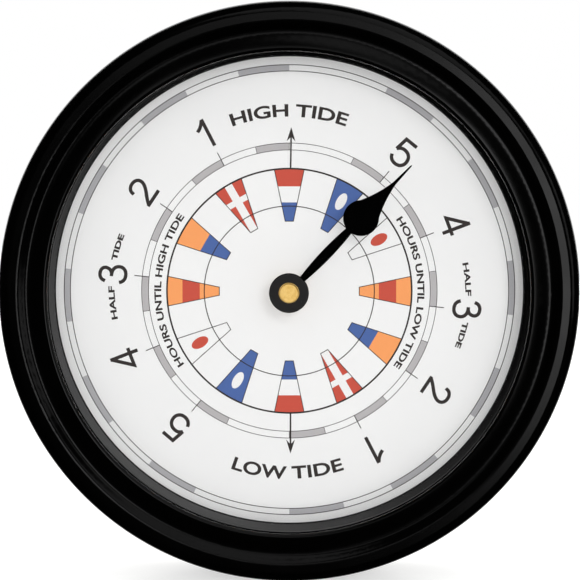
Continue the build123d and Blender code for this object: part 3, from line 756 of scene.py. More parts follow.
@dataclass(frozen=True)
class CellJacket:
    """Printed foil jacket of a dry cell: a dark body, a copper-coloured top and steel ends."""

    name: str = "printed foil cell jacket"
    body_colour: str = "#1c1d20"
    top_colour: str = "#b0703c"
    end_colour: str = "#b9bcc0"
    top_from_x: float = 11.0
    ends_at_x: Point = (-23.6, 24.0)
    scuff_mm: float = 3.0
    roughness_span: Point = (0.22, 0.42)

    def material(self) -> bpy.types.Material:
        """Builds the material, with its bands told apart along the cell."""
        material, tree, place = start_material(self.name)
        along = add_node(tree, "ShaderNodeSeparateXYZ", {0: place}).outputs["X"]
        top = add_node(
            tree, "ShaderNodeMath", {0: along, 1: self.top_from_x * MM}, operation="GREATER_THAN"
        )
        left_end = add_node(
            tree, "ShaderNodeMath", {0: along, 1: self.ends_at_x[0] * MM}, operation="LESS_THAN"
        )
        right_end = add_node(
            tree, "ShaderNodeMath", {0: along, 1: self.ends_at_x[1] * MM}, operation="GREATER_THAN"
        )
        ends = add_node(
            tree,
            "ShaderNodeMath",
            {0: left_end.outputs[0], 1: right_end.outputs[0]},
            operation="MAXIMUM",
        )
        printed = add_node(
            tree,
            "ShaderNodeMix",
            {0: top.outputs[0], 6: linear(self.body_colour), 7: linear(self.top_colour)},
            data_type="RGBA",
        )
        colour = add_node(
            tree,
            "ShaderNodeMix",
            {0: ends.outputs[0], 6: printed.outputs[2], 7: linear(self.end_colour)},
            data_type="RGBA",
        )
        metal = add_node(
            tree,
            "ShaderNodeMath",
            {0: top.outputs[0], 1: ends.outputs[0]},
            operation="MAXIMUM",
        )
        scuff = add_node(
            tree,
            "ShaderNodeTexNoise",
            {"Vector": place, "Scale": 1 / (self.scuff_mm * MM), "Detail": 4.0},
        )
        shine = add_node(
            tree,
            "ShaderNodeMapRange",
            {
                "Value": scuff.outputs["Fac"],
                "To Min": self.roughness_span[0],
                "To Max": self.roughness_span[1],
            },
        )
        shader = add_node(
            tree,
            "ShaderNodeBsdfPrincipled",
            {
                "Base Color": colour.outputs[2],
                "Metallic": metal.outputs[0],
                "Roughness": shine.outputs["Result"],
            },
        )
        add_node(tree, "ShaderNodeOutputMaterial", {"Surface": shader.outputs[0]})
        return material


@dataclass(frozen=True)
class WoundWire:
    """Enamelled copper wire wound in close turns along X.

    The real wire is about 0.05 mm thick, and its turns are drawn at 0.3 mm so that they show.
    """

    name: str = "enamelled copper wire"
    colour: str = "#b5561f"
    # Painted shade: the grooves between turns are coloured a darker copper.
    groove_shade_colour: str = "#5e2509"
    turn_mm: float = 0.3
    turn_waver: float = 0.3
    turn_depth_mm: float = 0.05
    roughness: float = 0.35
    varnish: float = 0.6

    def material(self) -> bpy.types.Material:
        """Builds the material."""
        material, tree, place = start_material(self.name)
        turns = add_node(
            tree,
            "ShaderNodeTexWave",
            {
                "Vector": place,
                "Scale": wave_scale(self.turn_mm),
                "Distortion": self.turn_waver,
            },
            wave_type="BANDS",
            bands_direction="X",
        )
        colour = add_node(
            tree,
            "ShaderNodeMix",
            {
                0: turns.outputs["Fac"],
                6: linear(self.groove_shade_colour),
                7: linear(self.colour),
            },
            data_type="RGBA",
        )
        relief = add_node(
            tree,
            "ShaderNodeBump",
            {
                "Height": turns.outputs["Fac"],
                "Distance": self.turn_depth_mm * MM,
                "Strength": 1.0,
            },
        )
        shader = add_node(
            tree,
            "ShaderNodeBsdfPrincipled",
            {
                "Base Color": colour.outputs[2],
                "Metallic": 1.0,
                "Roughness": self.roughness,
                "Normal": relief.outputs["Normal"],
                "Coat Weight": self.varnish,
            },
        )
        add_node(tree, "ShaderNodeOutputMaterial", {"Surface": shader.outputs[0]})
        return material


@dataclass(frozen=True)
class CircuitLaminate:
    """Glass-epoxy board: green solder mask, with copper tracks showing paler under it."""

    name: str = "green masked board laminate"
    colour: str = "#1d4a2a"
    track_colour: str = "#3c7d45"
    track_mm: float = 1.4
    track_edge: Point = (0.09, 0.12)
    track_depth_mm: float = 0.03
    roughness: float = 0.3
    ior: float = 1.55

    def material(self) -> bpy.types.Material:
        """Builds the material."""
        material, tree, place = start_material(self.name)
        cells = add_node(
            tree,
            "ShaderNodeTexVoronoi",
            {"Vector": place, "Scale": 1 / (self.track_mm * MM)},
            feature="DISTANCE_TO_EDGE",
            distance="MANHATTAN",
        )
        track = add_node(
            tree,
            "ShaderNodeMapRange",
            {
                "Value": cells.outputs["Distance"],
                "From Min": self.track_edge[0],
                "From Max": self.track_edge[1],
            },
        )
        colour = add_node(
            tree,
            "ShaderNodeMix",
            {
                0: track.outputs["Result"],
                6: linear(self.colour),
                7: linear(self.track_colour),
            },
            data_type="RGBA",
        )
        relief = add_node(
            tree,
            "ShaderNodeBump",
            {
                "Height": track.outputs["Result"],
                "Distance": self.track_depth_mm * MM,
                "Strength": 1.0,
            },
        )
        shader = add_node(
            tree,
            "ShaderNodeBsdfPrincipled",
            {
                "Base Color": colour.outputs[2],
                "Roughness": self.roughness,
                "Normal": relief.outputs["Normal"],
                "IOR": self.ior,
            },
        )
        add_node(tree, "ShaderNodeOutputMaterial", {"Surface": shader.outputs[0]})
        return material


# Polished ABS is deep black, with a soft shine and a slight orange peel. A matt band at the
# sight edge keeps it from mirroring the dial
POLISHED_BLACK_ABS = MouldedPlastic(
    "polished black ABS",
    "#010101",
    "#020202",
    roughness=0.17,
    roughness_drift=0.05,
    grain_mm=3.0,
    grain_depth_mm=0.0025,
    matt_within_mm=73.11,
)
# The lining between dial and glass is dead matt, so that it swallows the white next to it
DULL_BLACK_ABS = MouldedPlastic(
    "dull black ABS", "#0c0c0c", "#0e0e0e", 0.8, 0.08, 0.5, 0.004, 1.45, shine_level=0.0
)
# The back cover comes from a sparked tool, whose grain of about 0.4 mm makes it look dry
GRAINED_BLACK_ABS = MouldedPlastic(
    "spark-grained black ABS", "#161617", "#1d1d1e", 0.55, 0.12, 0.45, 0.03
)
# A finer grain gives the movement's housing and cover a satin look, the cover a paler one
MOVEMENT_BLACK_ABS = MouldedPlastic(
    "fine-grained black ABS", "#1b1c1e", "#242527", 0.45, 0.12, 0.25, 0.012
)
COVER_BLACK_ABS = MouldedPlastic(
    "fine-grained charcoal ABS", "#232427", "#2c2d30", 0.42, 0.12, 0.25, 0.012
)
# Acetal looks waxy and smooth: cream where it is natural, and grey or white where it is dyed
WHITE_ACETAL = MouldedPlastic("natural acetal", "#e8e4d8", "#ddd8c8", 0.35, 0.1, 0.2, 0.004, 1.48)
GREY_ACETAL = MouldedPlastic("grey acetal", "#8f9496", "#7f8486", 0.38, 0.1, 0.2, 0.004, 1.48)
KNOB_ACETAL = MouldedPlastic("white acetal knob", "#dcdad2", "#c9c6bc", 0.4, 0.12, 0.25, 0.01, 1.48)
# Nylon has the yellow of old ivory and is a little duller than acetal
BOBBIN_NYLON = MouldedPlastic("natural nylon", "#d9d3bf", "#cdc6ae", 0.4, 0.1, 0.3, 0.006)
# A blob of resin sets with a smooth, wet-looking skin
CHIP_RESIN = MouldedPlastic("black potting resin", "#0c0c0d", "#141415", 0.28, 0.1, 1.0, 0.02)
# Ferrite is ground, grey and faintly speckled
FERRITE = MouldedPlastic("sintered ferrite", "#2c2b2b", "#3a3938", 0.5, 0.15, 0.15, 0.01, 1.6)
# Rubber is soft black and nearly without shine
NITRILE = MouldedPlastic("nitrile rubber", "#151515", "#1e1e1e", 0.7, 0.1, 0.3, 0.02, 1.5)
# The bush's end shows the rings of the lathe, which spread its glint
TURNED_BRASS = Metal(
    "turned brass", "#e0bf78", "#d2aa5c", 0.34, 0.1, 0.16, 0.0012, turned=True, patch_mm=1.2
)
# Bar-turned brass, washers and nut: warm and fairly bright, with fine scratches
MACHINED_BRASS = Metal("machined brass", "#d9b163", "#c79a4a", 0.3, 0.12, 0.2, 0.002)
# Zinc plate is bluish and a little cloudy
ZINC_STEEL = Metal("zinc-plated steel", "#a6aab0", "#8d9298", 0.32, 0.14, 0.25, 0.003)
# A ground arbor is the brightest metal here
BRIGHT_STEEL = Metal("bright steel", "#b8babd", "#a2a4a8", 0.22, 0.1, 0.2, 0.001)
# Annealing leaves stamped iron grey and dull
SOFT_IRON = Metal("annealed soft iron", "#9b9a98", "#848381", 0.4, 0.15, 0.3, 0.004)
# Nickel plate is bright with a warm cast
NICKEL = Metal("nickel-plated spring steel", "#c9c5ba", "#b3afa4", 0.25, 0.12, 0.3, 0.002)


class Ink(Enum):
    """The dial's printing inks."""

    BLACK = ScreenInk("black screen ink", "#29221f", "#302927")
    # Painted shadow: a deep black ink for the ring at the dial's edge, where the lining's foot
    # casts shade.
    DEEP_BLACK = ScreenInk("deep black screen ink", "#060606", "#0a0a0a")
    PALE_GREY = ScreenInk("pale grey screen ink", "#b6b3b4", "#bbb8b9")
    MID_GREY = ScreenInk("mid grey screen ink", "#b2b1b4", "#b7b6b9")
    RED = ScreenInk("signal red screen ink", "#c84a38", "#cc5341")
    BLUE = ScreenInk("signal blue screen ink", "#4562a2", "#4b68a7")
    AMBER = ScreenInk("amber screen ink", "#fba05c", "#f9a465")
    WHITE = ScreenInk("white screen ink", "#f4f3f2", "#f0efee")


# ------------------------------------------------------------ repeating pieces


def new_tree(name: str, inputs: dict[str, str]) -> tuple[bpy.types.NodeTree, bpy.types.Node]:
    """Starts a geometry tree with named inputs.

    Args:
        name: the tree's name.
        inputs: each input's name and socket type.

    Returns:
        The tree and its input node.
    """
    tree = bpy.data.node_groups.new(name, "GeometryNodeTree")
    for label, kind in inputs.items():
        tree.interface.new_socket(name=label, in_out="INPUT", socket_type=kind)
    tree.interface.new_socket(name="Geometry", in_out="OUTPUT", socket_type="NodeSocketGeometry")
    return tree, add_node(tree, "NodeGroupInput")


def repeat_round_dial(
    tree: bpy.types.NodeTree, given: bpy.types.Node, shape: bpy.types.NodeSocket
) -> None:
    """Ends a geometry tree: copies one shape round the dial's axis, as real geometry in one ink.

    Args:
        tree: the tree, with inputs Count, Step and Ink.
        given: its input node.
        shape: the output that carries the shape.
    """
    points = add_node(tree, "GeometryNodePoints", {"Count": given.outputs["Count"]})
    index = add_node(tree, "GeometryNodeInputIndex")
    turned = add_node(
        tree,
        "ShaderNodeMath",
        {0: index.outputs[0], 1: given.outputs["Step"]},
        operation="MULTIPLY",
    )
    rotation = add_node(tree, "ShaderNodeCombineXYZ", {"Y": turned.outputs[0]})
    copies = add_node(
        tree,
        "GeometryNodeInstanceOnPoints",
        {"Points": points.outputs[0], "Instance": shape, "Rotation": rotation.outputs[0]},
    )
    real = add_node(tree, "GeometryNodeRealizeInstances", {0: copies.outputs[0]})
    inked = add_node(
        tree,
        "GeometryNodeSetMaterial",
        {"Geometry": real.outputs[0], "Material": given.outputs["Ink"]},
    )
    add_node(tree, "NodeGroupOutput", {0: inked.outputs[0]})


def grow(name: str, tree: bpy.types.NodeTree, values: dict[str, object]) -> bpy.types.Object:
    """Runs a geometry tree and keeps its result as a plain mesh.

    Args:
        name: the piece's name.
        tree: the tree.
        values: what each named input is set to.

    Returns:
        The piece.
    """
    seed = link(name + "_seed", bpy.data.meshes.new(name + "_seed"))
    modifier = seed.modifiers.new("grow", "NODES")
    modifier.node_group = tree
    for socket in tree.interface.items_tree:
        if socket.in_out == "INPUT":
            modifier[socket.identifier] = values[socket.name]
    seed.update_tag()
    bpy.context.view_layer.update()
    grown = bpy.data.meshes.new_from_object(
        seed.evaluated_get(bpy.context.evaluated_depsgraph_get())
    )
    grown.name = name
    seed.modifiers.remove(modifier)
    bpy.data.objects.remove(seed)
    return link(name, grown)


COMMON_INPUTS = {
    "Count": "NodeSocketInt",
    "Step": "NodeSocketFloat",
    "Back": "NodeSocketFloat",
    "Front": "NodeSocketFloat",
    "Ink": "NodeSocketMaterial",
}


def cell_tree() -> bpy.types.NodeTree:
    """Geometry tree of a scale's cells: curved blocks between two radii, round the dial."""
    tree, given = new_tree(
        "scale cells",
        COMMON_INPUTS
        | {
            "Inner radius": "NodeSocketFloat",
            "Outer radius": "NodeSocketFloat",
            "Start": "NodeSocketFloat",
            "Cell": "NodeSocketFloat",
            "Vertices": "NodeSocketInt",
        },
    )
    block = add_node(
        tree,
        "GeometryNodeMeshCube",
        {
            "Size": (1.0, 1.0, 1.0),
            "Vertices X": given.outputs["Vertices"],
            "Vertices Y": 2,
            "Vertices Z": 2,
        },
    )
    spot = add_node(tree, "GeometryNodeInputPosition")
    parts = add_node(tree, "ShaderNodeSeparateXYZ", {0: spot.outputs[0]})
    angle = add_node(
        tree,
        "ShaderNodeMath",
        {0: parts.outputs["X"], 1: given.outputs["Cell"], 2: given.outputs["Start"]},
        operation="MULTIPLY_ADD",
    )
    reach = add_node(
        tree,
        "ShaderNodeMapRange",
        {
            "Value": parts.outputs["Y"],
            "From Min": -0.5,
            "From Max": 0.5,
            "To Min": given.outputs["Inner radius"],
            "To Max": given.outputs["Outer radius"],
        },
    )
    height = add_node(
        tree,
        "ShaderNodeMapRange",
        {
            "Value": parts.outputs["Z"],
            "From Min": -0.5,
            "From Max": 0.5,
            "To Min": given.outputs["Back"],
            "To Max": given.outputs["Front"],
        },
    )
    sine = add_node(tree, "ShaderNodeMath", {0: angle.outputs[0]}, operation="SINE")
    cosine = add_node(tree, "ShaderNodeMath", {0: angle.outputs[0]}, operation="COSINE")
    right = add_node(
        tree, "ShaderNodeMath", {0: sine.outputs[0], 1: reach.outputs[0]}, operation="MULTIPLY"
    )
    up = add_node(
        tree, "ShaderNodeMath", {0: cosine.outputs[0], 1: reach.outputs[0]}, operation="MULTIPLY"
    )
    forward = add_node(
        tree, "ShaderNodeMath", {0: height.outputs[0], 1: -1.0}, operation="MULTIPLY"
    )
    place = add_node(
        tree,
        "ShaderNodeCombineXYZ",
        {"X": right.outputs[0], "Y": forward.outputs[0], "Z": up.outputs[0]},
    )
    bent = add_node(
        tree,
        "GeometryNodeSetPosition",
        {"Geometry": block.outputs["Mesh"], "Position": place.outputs[0]},
    )
    repeat_round_dial(tree, given, bent.outputs[0])
    return tree


def bar_tree() -> bpy.types.NodeTree:
    """Geometry tree of straight lines: each from an inner to an outer spot, round the dial."""
    tree, given = new_tree(
        "dial bars",
        COMMON_INPUTS
        | {
            "Inner along": "NodeSocketFloat",
            "Inner aside": "NodeSocketFloat",
            "Outer along": "NodeSocketFloat",
            "Outer aside": "NodeSocketFloat",
            "Line": "NodeSocketFloat",
        },
    )
    block = add_node(tree, "GeometryNodeMeshCube", {"Size": (1.0, 1.0, 1.0)})
    spot = add_node(tree, "GeometryNodeInputPosition")
    parts = add_node(tree, "ShaderNodeSeparateXYZ", {0: spot.outputs[0]})
    spans = []
    for axis, low, high in (
        ("X", "Inner along", "Outer along"),
        ("X", "Inner aside", "Outer aside"),
        ("Z", "Back", "Front"),
    ):
        spans.append(
            add_node(
                tree,
                "ShaderNodeMapRange",
                {
                    "Value": parts.outputs[axis],
                    "From Min": -0.5,
                    "From Max": 0.5,
                    "To Min": given.outputs[low],
                    "To Max": given.outputs[high],
                },
            ).outputs[0]
        )
    across = add_node(
        tree,
        "ShaderNodeMath",
        {0: parts.outputs["Y"], 1: given.outputs["Line"]},
        operation="MULTIPLY",
    )
    aside = add_node(
        tree, "ShaderNodeMath", {0: spans[1], 1: across.outputs[0]}, operation="SUBTRACT"
    )
    forward = add_node(tree, "ShaderNodeMath", {0: spans[2], 1: -1.0}, operation="MULTIPLY")
    place = add_node(
        tree,
        "ShaderNodeCombineXYZ",
        {"X": aside.outputs[0], "Y": forward.outputs[0], "Z": spans[0]},
    )
    bent = add_node(
        tree,
        "GeometryNodeSetPosition",
        {"Geometry": block.outputs["Mesh"], "Position": place.outputs[0]},
    )
    repeat_round_dial(tree, given, bent.outputs[0])
    return tree


# ------------------------------------------------------------------- the dial


PENNANT_TIP_R = 21.8
PENNANT_END_R = 38.14


@dataclass(frozen=True)
class Legend:
    """A line of plain functional lettering that follows a circle of the dial.

    Angles are clockwise from 12 in degrees, at the reading start and end of the line, and
    heights are radii of its base and top, in millimetres. The tilt turns it about its middle.
    """

    name: str
    words: str
    start: float
    end: float
    base_r: float
    top_r: float
    weight: float
    tilt: float = 0.0


@dataclass(frozen=True)
class ScaleHalf:
    """Where the cells of one half of the dial stand, clockwise from the half's start.

    The two halves of such a dial are drawn by eye to the same pattern, and differ a little.
    """

    name: str
    turn: float
    first_hour: float
    hour_step: float
    cell: float
    last_cell: Point


@dataclass
class DialPrint:
    """Everything printed on the dial sheet: scales, hour numbers, arrows, pennants and words.

    Every ink is a thin closed film that stands on the sheet's front face. Lengths are in
    millimetres and angles in degrees clockwise from 12.
    """

    sheet_h: float
    film: float = 0.02
    layer: float = 0.012
    line_lift: float = 0.004
    inner_circle_r: float = 26.5
    inner_circle_line: float = 0.29
    pennant_circle_r: float = PENNANT_END_R
    pennant_circle_line: float = 0.52
    inner_scale: Point = (43.9, 46.04)
    inner_scale_line: float = 0.19
    outer_scale: Point = (68.28, 70.21)
    outer_scale_line: float = 0.24
    # The deep black ring at the dial's edge is painted shadow: it stands for the shade in the gap
    # at the foot of the lining.
    shadow_gap_r: float = 73.0
    shadow_gap_line: float = 0.46
    cell_line: float = 0.16
    tick_line: float = 0.27
    tick_end_r: float = 48.5
    halves: tuple[ScaleHalf, ...] = (
        ScaleHalf("ebb", 0.0, 39.7, 28.18, 13.95, (165.7, 180.0)),
        ScaleHalf("flood", 180.0, 39.0, 28.4, 13.7, (166.85, 180.0)),
    )
    hour_count: int = 5
    cell_vertices: int = 12
    circle_steps: int = 288

    def heights(self, layer: int) -> Point:
        """Back and front height of a film, of which later layers cover earlier ones."""
        return (self.sheet_h, self.sheet_h + self.film + layer * self.layer)

    def circles(self, materials: dict[Ink, bpy.types.Material]) -> list[bpy.types.Object]:
        """The full circles: two round the pennants, two of each scale, and a deep black ring at the
        dial's edge that is painted shadow of the gap at the lining's foot.

        Args:
            materials: the inks.

        Returns:
            One piece for each circle.
        """
        back, front = self.heights(3)
        pieces = []
        for name, radius, line, ink in (
            ("inner_circle", self.inner_circle_r, self.inner_circle_line, Ink.BLACK),
            ("pennant_circle", self.pennant_circle_r, self.pennant_circle_line, Ink.BLACK),
            ("inner_scale_low_circle", self.inner_scale[0], self.inner_scale_line, Ink.BLACK),
            ("inner_scale_high_circle", self.inner_scale[1], self.inner_scale_line, Ink.BLACK),
            ("outer_scale_low_circle", self.outer_scale[0], self.outer_scale_line, Ink.BLACK),
            ("outer_scale_high_circle", self.outer_scale[1], self.outer_scale_line, Ink.BLACK),
            ("border_circle", self.shadow_gap_r, self.shadow_gap_line, Ink.DEEP_BLACK),
        ):
            section = [
                (radius - line / 2, back),
                (radius + line / 2, back),
                (radius + line / 2, front),
                (radius - line / 2, front),
            ]
            piece = lathe(name, section, self.circle_steps)
            piece.data.materials.append(materials[ink])
            pieces.append(piece)
        return pieces

    def scale_cells(self, materials: dict[Ink, bpy.types.Material]) -> list[bpy.types.Object]:
        """The grey cells of both scales, grown by geometry nodes.

        Args:
            materials: the inks.

        Returns:
            One piece for each run of cells.
        """
        tree = cell_tree()
        back, front = self.heights(0)
        pieces = []
        for ring, radii, ink in (
            ("inner", self.inner_scale, Ink.PALE_GREY),
            ("outer", self.outer_scale, Ink.MID_GREY),
        ):
            for half in self.halves:
                low, high = half.last_cell
                for run, start, cell, count in (
                    ("hours", half.first_hour - half.cell, half.cell, self.hour_count),
                    ("last", low, high - low, 1),
                ):
                    pieces.append(
                        grow(
                            f"{ring}_scale_{half.name}_{run}",
                            tree,
                            {
                                "Count": count,
                                "Step": math.radians(half.hour_step),
                                "Back": back * MM,
                                "Front": front * MM,
                                "Ink": materials[ink],
                                "Inner radius": radii[0] * MM,
                                "Outer radius": radii[1] * MM,
                                "Start": math.radians(start + cell / 2 + half.turn),
                                "Cell": math.radians(cell),
                                "Vertices": self.cell_vertices,
                            },
                        )
                    )
        return pieces

    def bars(
        self,
        name: str,
        inner: Point,
        outer: Point,
        line: float,
        count: int,
        step: float,
        tree: bpy.types.NodeTree,
        ink: bpy.types.Material,
        turn: float = 0.0,
    ) -> bpy.types.Object:
        """Straight lines repeated round the dial by geometry nodes.

        Args:
            name: the piece's name.
            inner: inner end of the first line, along and aside of its own direction.
            outer: its outer end.
            line: width of the line.
            count: how many there are.
            step: angle from one to the next.
            tree: the geometry tree.
            ink: the ink.
            turn: angle of the first.

        Returns:
            The piece.
        """
        back, front = self.heights(3)
        piece = grow(
            name,
            tree,
            {
                "Count": count,
                "Step": math.radians(step),
                "Back": back * MM,
                "Front": (front + self.line_lift) * MM,
                "Ink": ink,
                "Inner along": inner[0] * MM,
                "Inner aside": inner[1] * MM,
                "Outer along": outer[0] * MM,
                "Outer aside": outer[1] * MM,
                "Line": line * MM,
            },
        )
        sine, cosine = math.sin(math.radians(turn)), math.cos(math.radians(turn))
        for vertex in piece.data.vertices:
            x, z = vertex.co.x, vertex.co.z
            vertex.co.x, vertex.co.z = x * cosine + z * sine, z * cosine - x * sine
        return piece

    def scale_lines(self, ink: bpy.types.Material) -> list[bpy.types.Object]:
        """Hour ticks and the end lines of the inner scale's cells.

        Args:
            ink: the ink.

        Returns:
            One piece for each run of lines.
        """
        tree = bar_tree()
        low, high = self.inner_scale
        pieces = []
        for half in self.halves:
            for name, reach, line, first, count in (
                ("hour_ticks", self.tick_end_r, self.tick_line, half.first_hour, self.hour_count),
                (
                    "cell_starts",
                    high,
                    self.cell_line,
                    half.first_hour - half.cell,
                    self.hour_count,
                ),
                ("last_start", high, self.cell_line, half.last_cell[0], 1),
                ("last_end", high, self.cell_line, half.last_cell[1], 1),
            ):
                pieces.append(
                    self.bars(
                        f"{name}_{half.name}",
                        (low, 0.0),
                        (reach, 0.0),
                        line,
                        count,
                        half.hour_step,
                        tree,
                        ink,
                        half.turn + first,
                    )
                )
        return pieces


# Pen paths of the hour numbers, drawn one unit tall about their own middle or stem
NUMERALS: dict[str, list[list[Point]]] = {
    "1": [
        [(0.0, 1.0), (0.0, 0.0)],
        smooth([(-0.315, 0.665), (-0.2, 0.735), (-0.09, 0.85), (-0.01, 0.975)]),
    ],
    "2": [
        smooth(
            [
                (-0.262, 0.69),
                (-0.225, 0.83),
                (-0.12, 0.915),
                (0.0, 0.937),
                (0.13, 0.91),
                (0.22, 0.83),
                (0.248, 0.715),
                (0.205, 0.58),
                (0.09, 0.435),
                (-0.09, 0.27),
                (-0.215, 0.14),
                (-0.27, 0.055),
            ]
        ),
        [(-0.33, 0.0625), (0.325, 0.0625)],
    ],
    "3": [
        smooth(
            [
                (-0.25, 0.745),
                (-0.195, 0.865),
                (-0.105, 0.925),
                (0.0, 0.94),
                (0.12, 0.91),
                (0.195, 0.83),
                (0.205, 0.725),
                (0.15, 0.61),
                (0.045, 0.553),
                (-0.07, 0.545),
            ]
        ),
        smooth(
            [
                (0.0, 0.548),
                (0.14, 0.515),
                (0.245, 0.425),
                (0.28, 0.3),
                (0.25, 0.175),
                (0.15, 0.085),
                (0.0, 0.058),
                (-0.135, 0.09),
                (-0.22, 0.17),
                (-0.258, 0.265),
            ]
        ),
    ],
    "4": [
        [(0.0, 1.0), (0.0, 0.0)],
        [(-0.005, 0.945), (-0.447, 0.292), (0.185, 0.292)],
    ],
    "5": [
        [(0.255, 0.942), (-0.195, 0.942), (-0.262, 0.485)],
        smooth(
            [
                (-0.262, 0.49),
                (-0.15, 0.592),
                (-0.01, 0.622),
                (0.14, 0.59),
                (0.25, 0.49),
                (0.29, 0.345),
                (0.265, 0.205),
                (0.165, 0.095),
                (0.02, 0.058),
                (-0.125, 0.085),
                (-0.225, 0.165),
                (-0.27, 0.26),
            ]
        ),
    ],
}


@dataclass(frozen=True)
class NumberPlace:
    """How far an hour number stands from its even place: aside, outwards and turned."""

    aside: float
    rise: float
    tilt: float


@dataclass
class HourNumbers:
    """The hour numbers: a plain light face drawn with one pen, tops outwards."""

    dial: DialPrint
    pen: float = 0.12
    stroke_lift: float = 0.002
    height: float = 9.12
    base_r: float = 50.9
    first: float = 39.75
    step: float = 28.31
    ebb: tuple[NumberPlace, ...] = (
        NumberPlace(-0.3, 0.07, -0.9),
        NumberPlace(1.09, 0.05, 1.2),
        NumberPlace(-0.57, 0.15, -0.6),
        NumberPlace(-0.36, 0.36, -1.05),
        NumberPlace(-0.47, 0.73, -0.5),
    )
    flood: tuple[NumberPlace, ...] = (
        NumberPlace(-0.26, -0.19, 0.9),
        NumberPlace(0.64, -0.03, 0.7),
        NumberPlace(-0.86, -0.22, -0.1),
        NumberPlace(-0.26, -0.26, -0.9),
        NumberPlace(-0.05, -0.08, -0.35),
    )

    def build(self) -> list[bpy.types.Object]:
        """Draws 5 to 1 clockwise on each half of the dial."""
        back, front = self.dial.heights(1)
        pieces = []
        for half, turn, places in (("ebb", 0.0, self.ebb), ("flood", 180.0, self.flood)):
            for number, (digit, place) in enumerate(zip("54321", places)):
                angle = self.first + number * self.step + turn
                plates = []
                for layer, path in enumerate(NUMERALS[digit]):
                    outline = [
                        placed(
                            (x * self.height + place.aside, y * self.height + place.rise),
                            angle,
                            self.base_r,
                            place.tilt,
                        )
                        for x, y in stroke(path, self.pen)
                    ]
                    plates.append((outline, back, front + layer * self.stroke_lift))
                pieces.append(prisms(f"number_{digit}_{half}", plates))
        return pieces


@dataclass
class TideArrows:
    """The arrows at high and low tide: a thin stem with a narrow swept head."""

    dial: DialPrint
    tip_r: float = 50.95
    head_r: float = 46.55
    notch_r: float = 47.75
    head_half: float = 1.36
    stem_half: float = 0.25
    asides: Point = (-0.22, -0.38)
    tilts: Point = (0.95, 0.0)

    def build(self) -> list[bpy.types.Object]:
        """Draws both arrows."""
        back, front = self.dial.heights(2)
        outline = [
            (self.stem_half, self.dial.pennant_circle_r),
            (self.stem_half, self.notch_r),
            (self.head_half, self.head_r),
            (0.0, self.tip_r),
            (-self.head_half, self.head_r),
            (-self.stem_half, self.notch_r),
            (-self.stem_half, self.dial.pennant_circle_r),
        ]
        pieces = []
        for name, turn, aside, tilt in (
            ("high_tide_arrow", 0.0, self.asides[0], self.tilts[0]),
            ("low_tide_arrow", 180.0, self.asides[1], self.tilts[1]),
        ):
            spots = [(x + aside, y) for x, y in outline]
            turned = [placed(spot, turn + tilt, 0.0) for spot in spots]
            pieces.append(prisms(name, [(turned, back, front)]))
        return pieces


class Numeral(Enum):
    """Signal pennants of the numerals, each as bands and charges.

    A band is an ink and the radii that it runs between. The first ends on the heavy circle
    and the last begins at the tip.
    """

    ZERO = (
        (Ink.AMBER, 33.3, PENNANT_END_R),
        (Ink.RED, 27.9, 33.3),
        (Ink.AMBER, PENNANT_TIP_R, 27.9),
    )
    ONE = ()
    TWO = ((Ink.BLUE, PENNANT_TIP_R, PENNANT_END_R),)
    THREE = ((Ink.RED, 32.6, PENNANT_END_R), (Ink.BLUE, PENNANT_TIP_R, 27.65))
    FOUR = ((Ink.RED, PENNANT_TIP_R, PENNANT_END_R),)
    FIVE = ((Ink.AMBER, 30.3, PENNANT_END_R), (Ink.BLUE, PENNANT_TIP_R, 30.3))


